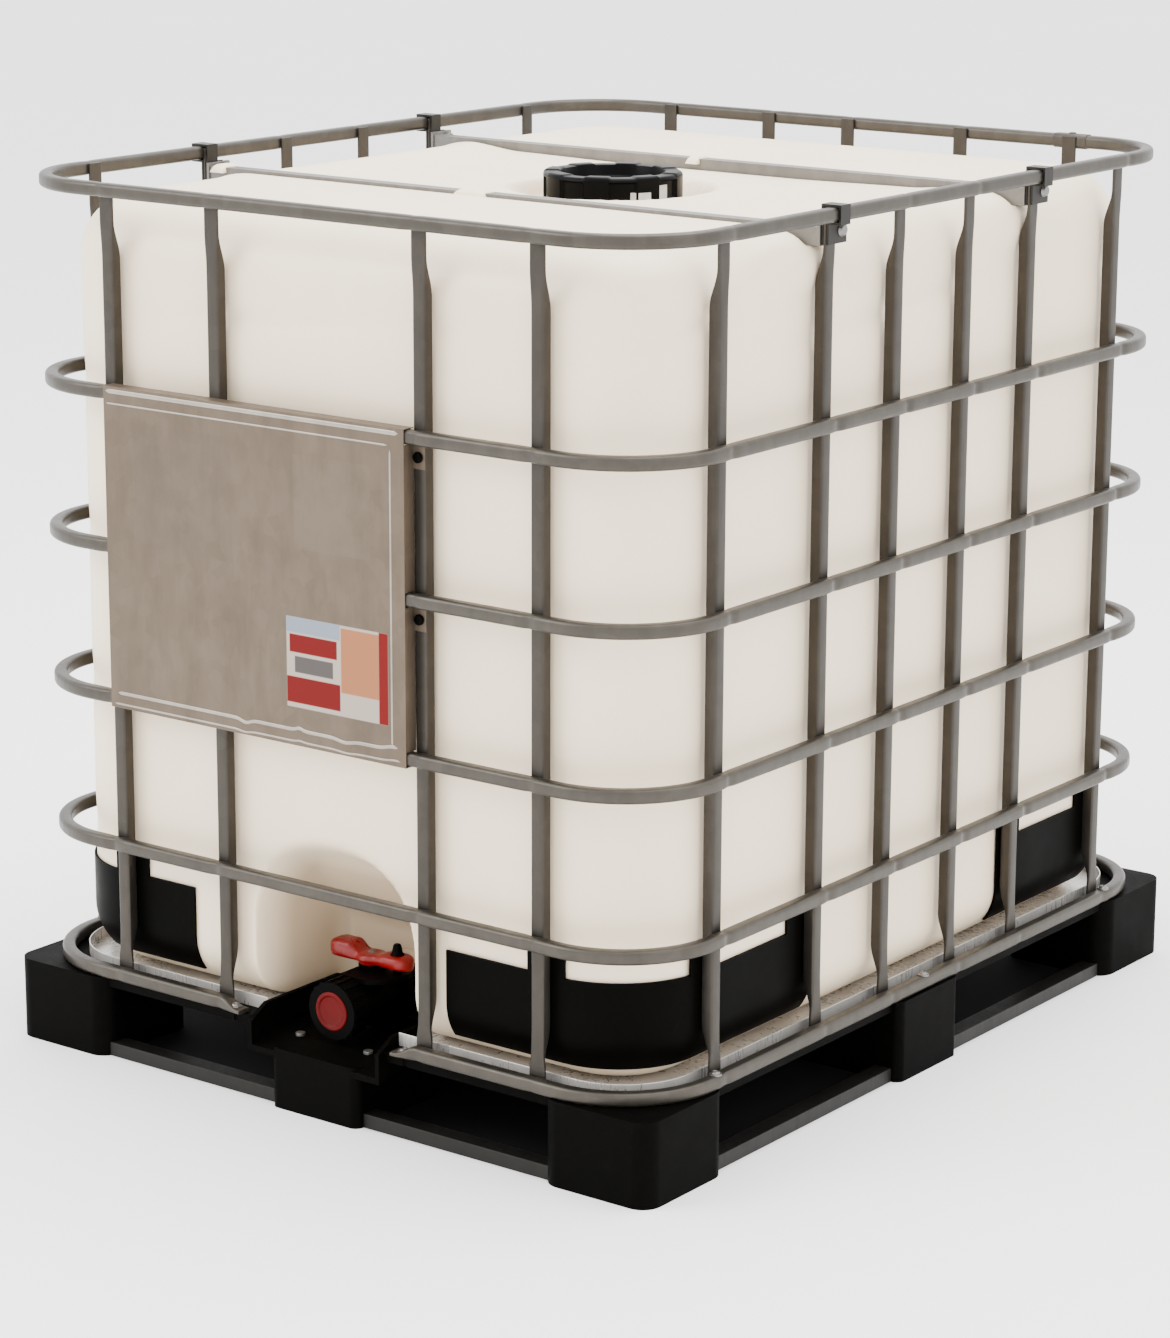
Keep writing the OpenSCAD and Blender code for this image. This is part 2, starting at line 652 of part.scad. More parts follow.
// Solid form of the tank, with every face moved inwards by g
module tank_form(g) {
    difference() {
        round_box(tx - g, ty - g, tank_r - g, top_edge_r - g, bottom_edge_r - g, tank_z + g, tank_top - g);
        // sloping recess over the valve, with an arched top
        intersection() {
            translate([-foot_w / 2, 0, 0]) rotate([90, 0, 90]) linear_extrude(foot_w)
                polygon([[-foot_l, 0], [-foot_l, recess_top + foot_l + recess_y + sqrt(2) * g],
                         [recess_y + g, recess_top + (sqrt(2) - 1) * g], [recess_y + g, 0]]);
            translate([0, 0, 0]) rotate([90, 0, 0]) linear_extrude(foot_l) {
                translate([-recess_w - g, 0]) square([2 * (recess_w + g), recess_top + 20]);
                translate([0, recess_top + 20]) circle(recess_w + g);
            }
        }
        // hollow between the crossbars and round the neck
        slab(basin_x + g, side_bar_mid + g, 60 + g, basin_z - g, total_h);
        translate([0, 0, neck_z - g]) cylinder(h = total_h, r = neck_hollow_r + g);
        for (t = [-1, 1]) translate([-foot_w / 2, t * side_bar_mid - bar_w / 2 - 3 - g, basin_z - g])
            cube([foot_w, bar_w + 6 + 2 * g, total_h]);
    }
    // sump behind the nozzle
    translate([-sump_x + g, recess_y + g, sump_z + g])
        cube([2 * (sump_x - g), sump_y - recess_y - 2 * g, outlet_z - sump_z]);
}

module tank() {
    color("#e8e4dc", 0.92) difference() {
        union() {
            tank_form(0);
            translate([0, 0, neck_z - 1]) cylinder(h = neck_h + 1, d = neck_d);
            along_outlet(flange_y + seal_t, recess_y + 1, barrel_d / 2);
        }
        tank_form(tank_wall);
        translate([0, 0, neck_z - 20]) cylinder(h = neck_h + 20 + eps, d = neck_d - 2 * neck_wall);
        along_outlet(flange_y + seal_t - eps, recess_y + 10, outlet_d / 2);
    }
}

// Band that follows the tank's side and bottom edge
module guard_band() {
    intersection() {
        difference() {
            puck(tank_r + gap + guard_t, top_edge_r, bottom_edge_r + gap + guard_t,
                 tank_z - gap - guard_t, tank_top);
            puck(tank_r + gap, top_edge_r, bottom_edge_r + gap, tank_z - gap, tank_top + 1);
        }
        translate([0, guard_low]) square([2 * tank_r, guard_top - guard_low]);
    }
}
guard_low = foot_h + 25;
guard_shift = 22;               // the left and right guards end this far to the left of even
function guard_x(sx) = foot_w / 2 - 300 - sx * guard_shift;   // end of the front leg, from the centre line
guard_y = side_bar_mid - 13;    // where the side leg ends
tab_w = 54;

module guard(sx, sy) {
    leg_x = tx - tank_r - guard_x(sx);
    leg_y = ty - tank_r - guard_y;
    tab_y = foot_l / 2 - side_bar_out;
    tab_x = foot_w / 2 - front_bar_out;
    color("#191919") scale([sx, sy, 1]) {
        translate([tx - tank_r, ty - tank_r, 0]) {
            rotate_extrude(angle = 90) guard_band();
            rotate([90, 0, 0]) linear_extrude(leg_y) guard_band();
            translate([-leg_x, 0, 0]) rotate([90, 0, 90]) linear_extrude(leg_x) guard_band();
        }
        for (y = [tab_y, guard_y + tab_w / 2]) translate([tx + gap, y - tab_w / 2, guard_top - 1])
            cube([guard_t, tab_w, tab_h + 1]);
        translate([tab_x - tab_w / 2, ty + gap, guard_top - 1]) cube([tab_w, guard_t, tab_h + 1]);
    }
}

// ---------- filling lid ----------

module lid_seal() {
    color("#303030") translate([0, 0, neck_top]) difference() {
        cylinder(h = seal_t, d = neck_d - 1);
        translate([0, 0, -eps]) cylinder(h = seal_t + 2 * eps, d = neck_d - 2 * neck_wall);
    }
}

module fill_lid() {
    z0 = neck_z + 2 + gap;
    plate_z = neck_top + seal_t;
    z1 = z0 + lid_h;
    ro = neck_d / 2 + 9;
    color("#161616") difference() {
        union() {
            translate([0, 0, z0]) cylinder(h = 6, d = lid_flange_d);
            translate([0, 0, z0]) cylinder(h = lid_h, r = ro);
        }
        translate([0, 0, z0 - eps]) cylinder(h = plate_z - z0 + eps, r = neck_d / 2 + 0.5);
        translate([0, 0, plate_z + 5]) cylinder(h = lid_h, r = neck_d / 2 - 12);
        for (k = [0:lid_notches - 1]) rotate([0, 0, (k + 0.5) * 360 / lid_notches])
            translate([ro - 4, -14, z0 + 10]) cube([10, 28, lid_h]);
    }
}

// ---------- outlet valve ----------

module nozzle_seal() {
    color("#303030") outlet_ring(flange_y, flange_y + seal_t, barrel_d / 2, outlet_d / 2);
}

module union_nut() {
    color("#141414") difference() {
        union() {
            outlet_ring(flange_y - 12, flange_y + 16, nut_d / 2, barrel_d / 2 + gap);
            for (a = [0:30:330]) translate([0, flange_y - 10, outlet_z]) rotate([0, a, 0])
                translate([nut_d / 2 - 2, 0, -4]) cube([4, 24, 8]);
        }
        along_outlet(flange_y - 5 - gap, flange_y + seal_t + gap, flange_r + gap);
    }
}

module valve_body() {
    r = barrel_d / 2;
    color("#151515") difference() {
        union() {
            along_outlet(flange_y - 5, flange_y, flange_r);
            along_outlet(outlet_end, flange_y, r);
            on_stem(outlet_z, boss_top, 17);
            on_stem(outlet_z - r - 6, outlet_z, 12);
            // index plate under the lever, a sector between the two lever positions
            intersection() {
                on_stem(ear_top - 6, ear_top, pin_x + 14);
                translate([-14, ear_y, 0]) cube([pin_x + 40, stem_y + 14 - ear_y, total_h]);
            }
            translate([-6, ear_y, outlet_z]) cube([12, stem_y - ear_y, ear_top - outlet_z - 1]);
        }
        along_outlet(outlet_end - eps, flange_y + eps, outlet_d / 2);
        along_outlet(stem_y - seat_l / 2, stem_y + seat_l / 2, outlet_d / 2 + seat_t);
        on_stem(outlet_z - r - 3, boss_top + eps, stem_d / 2 + run_fit);
        on_stem(boss_top - 4, boss_top + eps, 10);
    }
}

module valve_seat() {
    color("#2c2c2c") difference() {
        outlet_ring(stem_y - seat_l / 2, stem_y + seat_l / 2, outlet_d / 2 + seat_t, outlet_d / 2);
        on_stem(outlet_z - barrel_d, outlet_z + barrel_d, stem_d / 2 + gap);
    }
}

module stem_seal() {
    color("#2c2c2c") difference() {
        on_stem(boss_top - 4, boss_top, 10);
        on_stem(boss_top - 5, boss_top + eps, stem_d / 2 + run_fit);
    }
}

module valve_disc() {
    rim = outlet_d / 2 - 0.5;
    color("#3a3a3a") difference() {
        union() {
            along_outlet(stem_y - disc_t / 2, stem_y + disc_t / 2, rim);
            intersection() {
                on_stem(outlet_z - rim + 3, outlet_z + rim - 3, stem_d / 2 + 3);
                along_outlet(stem_y - 20, stem_y + 20, rim);
            }
        }
        on_stem(outlet_z - outlet_d, outlet_z + outlet_d, stem_d / 2);
    }
}

module valve_stem() {
    color("silver") difference() {
        on_stem(outlet_z - barrel_d / 2 - 3 + gap, wing_z + 8, stem_d / 2);
        on_stem(wing_z - 6, wing_z + 8 + eps, 2.5);
    }
}

// Two-winged lever: the taller wing points to -X when the valve is shut
module lever() {
    color("#c8231c") difference() {
        union() {
            on_stem(boss_top + gap, wing_z + 12, 15);
            translate([0, stem_y, wing_z]) {
                linear_extrude(20) wing(-1);
                linear_extrude(10) wing(1);
            }
        }
        on_stem(boss_top, wing_z + 8, stem_d / 2);
        on_stem(wing_z + 8 - eps, wing_z + 30, 6);
        translate([pin_x, stem_y, wing_z - eps]) cylinder(h = 30, r = pin_r + run_fit);
    }
}
module wing(s) {
    translate([s > 0 ? 0 : -wing_l + wing_w / 2, -wing_w / 2 + 3]) square([wing_l - wing_w / 2, wing_w - 6]);
    translate([s * (wing_l - wing_w / 2), 0]) circle(wing_w / 2);
}

module lever_screw() {
    color("silver") {
        on_stem(wing_z + 8, wing_z + 12, 5);
        on_stem(wing_z - 5, wing_z + 8.5, 2.5);
    }
}

// Peg through the short wing; its foot stands just above the index plate
module lock_pin() {
    color("#101010") translate([pin_x, stem_y, 0]) {
        translate([0, 0, ear_top + gap]) cylinder(h = wing_z + 10 + gap - ear_top, r = pin_r);
        translate([0, 0, wing_z + 10 + 2 * gap]) cylinder(h = 5, r = pin_r + 4);
        translate([0, 0, wing_z + 15]) cylinder(h = 14, r1 = pin_r + 2, r2 = 3.5);
    }
}

module cap_seal() {
    color("#303030") outlet_ring(outlet_end - seal_t, outlet_end, barrel_d / 2 - 0.5, outlet_d / 2);
}

module outlet_cap() {
    y1 = outlet_end + cap_skirt;
    y0 = outlet_end - seal_t - 9;
    color("#171717") difference() {
        union() {
            along_outlet(y0, y1, cap_d / 2 - 2);
            for (a = [0:20:340]) translate([0, y0 + 2, outlet_z]) rotate([0, a, 0])
                translate([cap_d / 2 - 4, 0, -2.5]) cube([4, y1 - y0 - 4, 5]);
        }
        along_outlet(outlet_end - seal_t, y1 + eps, barrel_d / 2 + 0.5);
        along_outlet(y0 - eps, y1, outlet_d / 2 - 0.5);
    }
}

// Red insert that closes the cap's window
module cap_insert() {
    y0 = outlet_end - seal_t - 9;
    color("#d0241c") {
        along_outlet(y0 + 1, outlet_end - seal_t, outlet_d / 2 - 0.6);
        along_outlet(y0 - 2, y0 + 1.5, outlet_d / 2 - 3);
    }
}

// ---------- the parts ----------

corner_foot(0);  // foot_front_left
corner_foot(1);  // foot_front_right
corner_foot(2);  // foot_back_left
corner_foot(3);  // foot_back_right
mid_foot(0);  // foot_mid_left
mid_foot(1);  // foot_mid_right
mid_foot(2);  // foot_mid_back
mid_foot(3);  // foot_centre
foot_valve_trough();
pallet_deck();
floor_pan();
runner(0, true);  // runner_front
runner(1, true);  // runner_back
runner(2, false);  // runner_left
runner(3, false);  // runner_right
runner(4, false);  // runner_centre
foot_screws();
cage_screws();
ring_bottom();
hoop(hoop_z[0]);  // hoop_1
hoop(hoop_z[1]);  // hoop_2
hoop(hoop_z[2]);  // hoop_3
hoop(hoop_z[3]);  // hoop_4
hoop(top_z);  // ring_top
uprights_front();
uprights_back();
uprights_side(-1);  // uprights_left
uprights_side(1);  // uprights_right
crossbar(-side_bar_mid);  // crossbar_front
crossbar(side_bar_mid);  // crossbar_back
crossbar_straps();
strap_bolts();
strap_nuts();
id_plate();
plate_clips();
guard(-1, -1);  // guard_front_left
guard(1, -1);  // guard_front_right
guard(-1, 1);  // guard_back_left
guard(1, 1);  // guard_back_right
tank();
lid_seal();
fill_lid();
nozzle_seal();
union_nut();
valve_body();
valve_seat();
stem_seal();
valve_disc();
valve_stem();
lever();
lever_screw();
lock_pin();
cap_seal();
outlet_cap();
cap_insert();
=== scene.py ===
"""Looks of the intermediate bulk container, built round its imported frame."""
import json
import math

import bmesh
import bpy
import numpy as np
from bpy.props import FloatProperty, FloatVectorProperty, IntProperty, PointerProperty
from mathutils import Matrix, Vector


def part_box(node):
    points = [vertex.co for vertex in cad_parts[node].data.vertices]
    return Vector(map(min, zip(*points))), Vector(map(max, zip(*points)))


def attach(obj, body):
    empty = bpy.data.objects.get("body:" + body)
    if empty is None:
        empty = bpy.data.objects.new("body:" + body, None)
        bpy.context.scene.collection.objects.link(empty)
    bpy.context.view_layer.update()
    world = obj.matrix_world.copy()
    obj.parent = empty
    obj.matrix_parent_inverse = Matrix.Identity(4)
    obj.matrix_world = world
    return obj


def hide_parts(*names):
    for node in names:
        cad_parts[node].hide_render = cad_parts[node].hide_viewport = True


bl_info = {
    "name": "Intermediate Bulk Container",
    "version": (1, 0, 0),
    "blender": (4, 5, 0),
    "location": "3D View > Sidebar > Container",
    "description": "Detailed pieces and finishes for a caged bulk tank on a pallet",
    "category": "Object",
}

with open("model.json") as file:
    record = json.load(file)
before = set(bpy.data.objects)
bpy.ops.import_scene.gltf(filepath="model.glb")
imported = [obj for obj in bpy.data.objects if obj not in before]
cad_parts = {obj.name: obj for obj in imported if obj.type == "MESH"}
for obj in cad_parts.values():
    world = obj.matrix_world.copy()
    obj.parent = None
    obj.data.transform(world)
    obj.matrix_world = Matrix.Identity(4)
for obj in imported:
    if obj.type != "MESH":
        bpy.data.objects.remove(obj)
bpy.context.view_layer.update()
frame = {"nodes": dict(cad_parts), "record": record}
SLOT_OF = {s["node"]: s["material_slot"] for s in frame["record"]["subparts"]}
BODY_OF = {n: b for b, ns in frame["record"]["behaviour"]["bodies"].items() for n in ns}
MM = 0.001


def span(node):
    """Lowest and highest corner of a CAD node, as two arrays."""
    lo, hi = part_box(node)
    return np.array(lo), np.array(hi)


# ---------- places that several pieces share, from the frame ----------

TUBE = np.ptp([c[2] for c in span("hoop_1")])                 # size of the cage tubes
HOOP_Z = [span(f"hoop_{k}")[0][2] + TUBE / 2 for k in (1, 2, 3, 4)]
RING_TOP_Z = span("ring_top")[1][2] - TUBE / 2
RING_LOW_Z = span("ring_bottom")[0][2] + TUBE / 2
RX = span("hoop_1")[1][0] - TUBE / 2                          # tube centre lines
RY = span("hoop_1")[1][1] - TUBE / 2
HOOP_R = 125 * MM                                             # bend of the hoops' corners
WELD_HALF = 0.0075                                            # half width of the dent at a weld
GAP_END = 120 * MM                                            # the bottom ring's ends at the trough
FRONT_BARS = [-326 * MM, -157 * MM, 157 * MM, 326 * MM]
BACK_BARS = [-326 * MM, -157 * MM, -25 * MM, 157 * MM, 326 * MM]
SIDE_BARS = [-439 * MM, -228 * MM, -78 * MM, 78 * MM, 228 * MM, 439 * MM]
UX, UY = RX - TUBE / 2, RY - TUBE / 2                         # outer faces of the uprights
TANK_LO, TANK_HI = span("tank")
TANK_FOOT = 106.5 * MM                                        # underside of the tank
TANK_CORNER, TANK_HEEL = 120 * MM, 70 * MM                    # its upright corners and bottom edge
BAR_Y = 0.228                                                 # crossbars' middle lines, from the middle
BAR_Z0, BAR_Z1 = span("crossbar_front")[0][2], span("crossbar_front")[0][2] + 22 * MM
TANK_TOP = BAR_Z1 - 3 * MM
LID_Z0 = span("fill_lid")[0][2]
AXIS_Z = 126 * MM                                             # outlet
FOOT_TOP = span("foot_front_left")[1][2]
STEM_Y = (span("valve_stem")[0][1] + span("valve_stem")[1][1]) / 2


# ---------- shapes as arrays ----------

def smooth(t):
    """Cubic step: 0 below 0, 1 above 1, level at both ends."""
    t = np.clip(t, 0, 1)
    return t * t * (3 - 2 * t)


def hill(t, width):
    """Bell curve of the given half width."""
    return np.exp(-(t / width) ** 2)


def grid(rows, ring_u=True, ring_v=False):
    """Quads over a grid of points, rows by columns; either way may close on itself."""
    rows = np.asarray(rows, float)
    nv, nu = rows.shape[:2]
    i, j = np.meshgrid(np.arange(nv - (not ring_v)), np.arange(nu - (not ring_u)), indexing="ij")
    i2, j2 = (i + 1) % nv, (j + 1) % nu
    quads = np.stack([i * nu + j, i * nu + j2, i2 * nu + j2, i2 * nu + j], -1)
    return rows.reshape(-1, 3), quads.reshape(-1, 4)


def slab(one, other):
    """Two matching sheets of points joined by a strip along each of their four edges."""
    edges = [(g[0], g[-1], g[:, 0], g[:, -1]) for g in (one, other)]
    return [grid(one, False), grid(other, False)] + [grid(np.stack(e), False) for e in zip(*edges)]


def capped(rows):
    """Rows with one more at each end, shrunk to the end row's middle, so the ends close."""
    rows = np.asarray(rows, float)
    ends = [np.broadcast_to(rows[k].mean(0), rows[k].shape)[None] for k in (0, -1)]
    return np.concatenate([ends[0], rows, ends[1]])


def rounded(hx, hy, r, per=5):
    """Outline of a rectangle with round corners: four quarter circles joined by straights."""
    t = np.linspace(0, math.pi / 2, per)
    arcs = [np.stack([sx * (hx - r) + r * np.cos(t + q), sy * (hy - r) + r * np.sin(t + q)], -1)
            for sx, sy, q in ((1, 1, 0), (-1, 1, math.pi / 2), (-1, -1, math.pi), (1, -1, 1.5 * math.pi))]
    return np.concatenate(arcs)


def turned(profile, origin=(0, 0, 0), axis="z", n=96, shape=None):
    """Surface of revolution: each (radius, height) of the profile carried round the axis.
    shape(angle, radius, height) may change the radius and height arrays."""
    a = np.linspace(0, 2 * math.pi, n, endpoint=False)[None, :]
    p = np.asarray(profile, float)
    r, h = np.repeat(p[:, :1], n, 1), np.repeat(p[:, 1:2], n, 1)
    if shape:
        r, h = shape(a, r, h)
    c, s = r * np.cos(a), r * np.sin(a)
    co = np.stack([c, s, h], -1) if axis == "z" else np.stack([c, h, s], -1)
    return grid(co + np.array(origin))


def soft_profile(points, bevel, steps=3):
    """Profile whose corners are cut back by bevel and rounded with a quadratic curve."""
    p = np.asarray(points, float)
    out = [p[0]]
    for a, b, c in zip(p[:-2], p[1:-1], p[2:]):
        la, lc = np.linalg.norm(a - b), np.linalg.norm(c - b)
        d = min(bevel, la / 2.1, lc / 2.1)
        s, e = b + (a - b) * d / la, b + (c - b) * d / lc
        for t in np.linspace(0, 1, steps + 1):
            out.append((1 - t) ** 2 * s + 2 * t * (1 - t) * b + t * t * e)
    out.append(p[-1])
    return np.array(out)


def make(name, parts, finish, node, replaces=(), angle=40):
    """One object from (points, quads) pairs: doubles merged, normals outwards, edges over the
    angle kept sharp. It takes the body of the CAD node."""
    me = bpy.data.meshes.new(name)
    co, quads, start = [], [], 0
    for c, q in parts:
        co.append(c)
        quads.append(q + start)
        start += len(c)
    co, quads = np.concatenate(co), np.concatenate(quads)
    me.vertices.add(len(co))
    me.vertices.foreach_set("co", co.astype(np.float32).ravel())
    me.loops.add(quads.size)
    me.loops.foreach_set("vertex_index", quads.astype(np.int32).ravel())
    me.polygons.add(len(quads))
    me.polygons.foreach_set("loop_start", np.arange(0, quads.size, 4, dtype=np.int32))
    me.update(calc_edges=True)
    bm = bmesh.new()
    bm.from_mesh(me)
    bmesh.ops.remove_doubles(bm, verts=bm.verts, dist=2e-6)
    bmesh.ops.dissolve_degenerate(bm, dist=1e-6, edges=bm.edges)
    bmesh.ops.recalc_face_normals(bm, faces=bm.faces)
    bm.to_mesh(me)
    bm.free()
    return settle(name, me, finish, node, replaces, angle)


def settle(name, me, finish, node, replaces, angle):
    """Links a mesh as a piece: finish, smooth shading, body and the nodes it stands for."""
    me.shade_smooth()
    me.set_sharp_from_angle(angle=math.radians(angle))
    me.materials.clear()
    me.materials.append(FINISH[finish])
    ob = bpy.data.objects.new(name, me)
    bpy.context.scene.collection.objects.link(ob)
    if replaces:
        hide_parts(*replaces)
    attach(ob, BODY_OF[node])
    return ob


def softened(node, finish, width, segments=2, angle=35, top=None):
    """Copy of a CAD node with its loose triangles merged into faces, its edges rounded and,
    where a top is given, its height cut down to it."""
    me = frame["nodes"][node].data.copy()
    if top is not None:
        co = np.empty(len(me.vertices) * 3, dtype=np.float32)
        me.vertices.foreach_get("co", co)
        co[2::3] = np.minimum(co[2::3], top)
        me.vertices.foreach_set("co", co)
    bm = bmesh.new()
    bm.from_mesh(me)
    bmesh.ops.remove_doubles(bm, verts=bm.verts, dist=5e-6)
    bmesh.ops.dissolve_limit(bm, angle_limit=math.radians(0.6), verts=bm.verts, edges=bm.edges)
    bm.to_mesh(me)
    bm.free()
    for name in [a.name for a in me.attributes if a.name == "custom_normal"]:
        me.attributes.remove(me.attributes[name])
    ob = settle("soft_" + node, me, finish, node, [node], angle)
    bevel = ob.modifiers.new("edges", "BEVEL")
    bevel.width, bevel.segments = width, segments
    bevel.limit_method, bevel.angle_limit = "ANGLE", math.radians(angle)
    bevel.harden_normals = True
    return ob


# ---------- finishes ----------

FINISH = {}


class Mixer:
    """Small helper that wires one procedural finish on Object coordinates."""

    def __init__(self, name, **sockets):
        self.mat = bpy.data.materials.new(name)
        self.mat.use_nodes = True
        self.tree = self.mat.node_tree
        self.bsdf = self.tree.nodes["Principled BSDF"]
        self.place = self.tree.nodes.new("ShaderNodeTexCoord").outputs["Object"]
        for key, value in sockets.items():
            self.bsdf.inputs[key.replace("_", " ")].default_value = value
        FINISH[name] = self.mat

    def wire(self, kind, inputs=(), **settings):
        n = self.tree.nodes.new("ShaderNode" + kind)
        for key, value in settings.items():
            setattr(n, key, value)
        for key, value in dict(inputs).items():
            s = n.inputs[key]
            if isinstance(value, bpy.types.NodeSocket):
                self.tree.links.new(value, s)
            else:
                s.default_value = value
        return n

    def stretched(self, sx, sy, sz):
        return self.wire("Mapping", {"Vector": self.place, "Scale": (sx, sy, sz)}).outputs["Vector"]

    def noise(self, scale, detail=3.0, rough=0.55, where=None):
        return self.wire("TexNoise", {"Vector": where or self.place, "Scale": scale, "Detail": detail,
                                      "Roughness": rough}).outputs["Fac"]

    def cells(self, scale):
        return self.wire("TexVoronoi", {"Vector": self.place, "Scale": scale}).outputs["Color"]

    def remap(self, value, lo, hi, a=0.3, b=0.7):
        return self.wire("MapRange", {"Value": value, "From Min": a, "From Max": b,
                                      "To Min": lo, "To Max": hi}).outputs["Result"]

    def blend(self, fac, a, b):
        n = self.wire("Mix", data_type="RGBA")
        for s, v in ((n.inputs[0], fac), (n.inputs[6], a), (n.inputs[7], b)):
            if isinstance(v, bpy.types.NodeSocket):
                self.tree.links.new(v, s)
            else:
                s.default_value = v if isinstance(v, float) else (*v, 1.0)
        return n.outputs[2]

    def maths(self, op, a, b=0.0):
        n = self.wire("Math", operation=op)
        for s, v in zip(n.inputs, (a, b)):
            if isinstance(v, bpy.types.NodeSocket):
                self.tree.links.new(v, s)
            else:
                s.default_value = v
        return n.outputs[0]

    def axis(self, which):
        return self.wire("SeparateXYZ", {"Vector": self.place}).outputs[which]

    def band(self, which, lo, hi, edge=0.0006):
        """1 between lo and hi along one axis of the object, 0 outside."""
        v = self.axis(which)
        up = self.wire("MapRange", {"Value": v, "From Min": lo - edge, "From Max": lo + edge}).outputs["Result"]
        down = self.wire("MapRange", {"Value": v, "From Min": hi - edge, "From Max": hi + edge,
                                      "To Min": 1.0, "To Max": 0.0}).outputs["Result"]
        return self.maths("MULTIPLY", up, down)

    def colour(self, socket):
        self.tree.links.new(socket, self.bsdf.inputs["Base Color"])

    def rough(self, socket):
        self.tree.links.new(socket, self.bsdf.inputs["Roughness"])

    def bump(self, *layers):
        """Height layers, each (socket, strength, distance in metres), one bump on the next."""
        last = None
        for height, strength, distance in layers:
            n = self.wire("Bump", {"Height": height, "Strength": strength, "Distance": distance})
            if last:
                self.tree.links.new(last, n.inputs["Normal"])
            last = n.outputs["Normal"]
        self.tree.links.new(last, self.bsdf.inputs["Normal"])


def shade(c, k):
    return tuple(min(1.0, v * k) for v in c)


def steel(name, colour, metal, lo, hi, spangle=70.0, contrast=0.07, dust=0.10):
    """Galvanised steel: zinc spangle, cloudy dulling, fine scuffs and a little dust."""
    m = Mixer(name, Metallic=metal)
    cloud = m.noise(14.0, 4.0)
    grains = m.wire("SeparateColor", {"Color": m.cells(spangle)}).outputs[0]
    c = m.blend(m.remap(grains, 0.0, 1.0, 0.1, 0.9), shade(colour, 1 - contrast), shade(colour, 1 + contrast))
    c = m.blend(m.remap(cloud, 0.0, dust * 2), c, shade(colour, 1.45))
    streak = m.noise(30.0, 3.0, 0.6, m.stretched(1, 1, 0.25))
    c = m.blend(m.remap(streak, 0.0, 0.35, 0.45, 0.7), c, shade(colour, 0.6))
    m.colour(c)
    scuff = m.noise(160.0, 2.0, 0.6, m.stretched(1, 1, 0.15))
    m.rough(m.remap(m.blend(0.5, cloud, scuff), lo, hi))
    m.bump((cloud, 0.25, 0.0006), (m.noise(420.0, 2.0), 0.12, 0.0002), (grains, 0.03, 0.0002))
    return m


def moulded(name, colour, lo, hi, grain=900.0, depth=0.00012, dust=(0.10, 0.095, 0.085), amount=0.05, **sockets):
    """Moulded plastic: fine grain, flow marks, handling scuffs and light dust."""
    m = Mixer(name, **sockets)
    cloud = m.noise(11.0, 4.0, 0.6)
    fleck = m.noise(55.0, 3.0, 0.7)
    c = m.blend(m.remap(cloud, 0.0, 1.0), shade(colour, 0.82), shade(colour, 1.22))
    c = m.blend(m.remap(fleck, 0.0, amount, 0.5, 0.75), c, dust)
    m.colour(c)
    m.rough(m.remap(cloud, lo, hi))
    m.bump((m.noise(grain, 2.0), 0.35, depth), (m.noise(24.0, 2.0), 0.12, 0.0006))
    return m


def make_finishes(p):
    """Every finish of the object, by name."""
    steel("cage_hoop", tuple(p.cage.hoop_colour), 0.8, 0.34, 0.5)
    steel("cage_upright", tuple(p.cage.upright_colour), 0.75, 0.36, 0.54)
    steel("bar_steel", (0.145, 0.138, 0.128), 0.7, 0.34, 0.5)
    # painted shade: the straps' steel is painted nearly black, as the shade they sit in
    steel("strap_steel_painted_shade", (0.013, 0.012, 0.010), 0.7, 0.38, 0.54)
    # bright zinc of the pan, its colour raised further as painted highlight on the rim between the ring and the
    # guards
    steel("pan_zinc_and_painted_highlight", tuple(p.pallet.pan_colour), 0.55, 0.22, 0.36, 45.0, 0.05, 0.04)
    # painted shade: the runners' zinc is painted nearly black, as the shade under the pallet
    steel("runner_zinc_painted_shade", (0.009, 0.008, 0.0065), 0.6, 0.38, 0.55, 60.0, 0.08, 0.2)
    # painted highlight: the hems' zinc is painted lighter than the plate, as the highlight along their rolled edges
    steel("hem_zinc_painted_highlight", (0.265, 0.235, 0.20), 0.6, 0.26, 0.38, 55.0, 0.05, 0.1)
    steel("screw_zinc", (0.17, 0.165, 0.155), 0.8, 0.25, 0.4, 300.0, 0.05, 0.03)
    dim = dict(dust=(0.0035, 0.0030, 0.0024), Specular_IOR_Level=0.022)
    moulded("foot_black", (0.0010, 0.0009, 0.0007), 0.46, 0.62, amount=0.25, **dim)
    moulded("guard_black", (0.0009, 0.0008, 0.0006), 0.42, 0.55, amount=0.10, **dim)
    moulded("lid_black", (0.0009, 0.0009, 0.0009), 0.30, 0.42, amount=0.10, dust=dim["dust"], Specular_IOR_Level=0.05)
    moulded("valve_black", (0.0009, 0.0009, 0.0008), 0.32, 0.46, amount=0.10, **dim)
    moulded("seal_rubber", (0.012, 0.012, 0.012), 0.6, 0.75, amount=0.03)
    red = tuple(p.valve.red)
    moulded("handle_red", red, 0.26, 0.36, amount=0.04, dust=shade(red, 0.6),
            Specular_IOR_Level=0.3, Coat_Weight=0.08, Coat_Roughness=0.25)
    # painted shade: the cap's disc is a darker copy of the handle's red, painted down because the disc faces the key
    # light
    moulded("disc_red_painted_shade", shade(red, 0.38), 0.34, 0.46, amount=0.04, dust=shade(red, 0.3), Specular_IOR_Level=0.10)
    tank_finish(p.tank)
    plate_finish(p.plate)
    lid_label_finish()


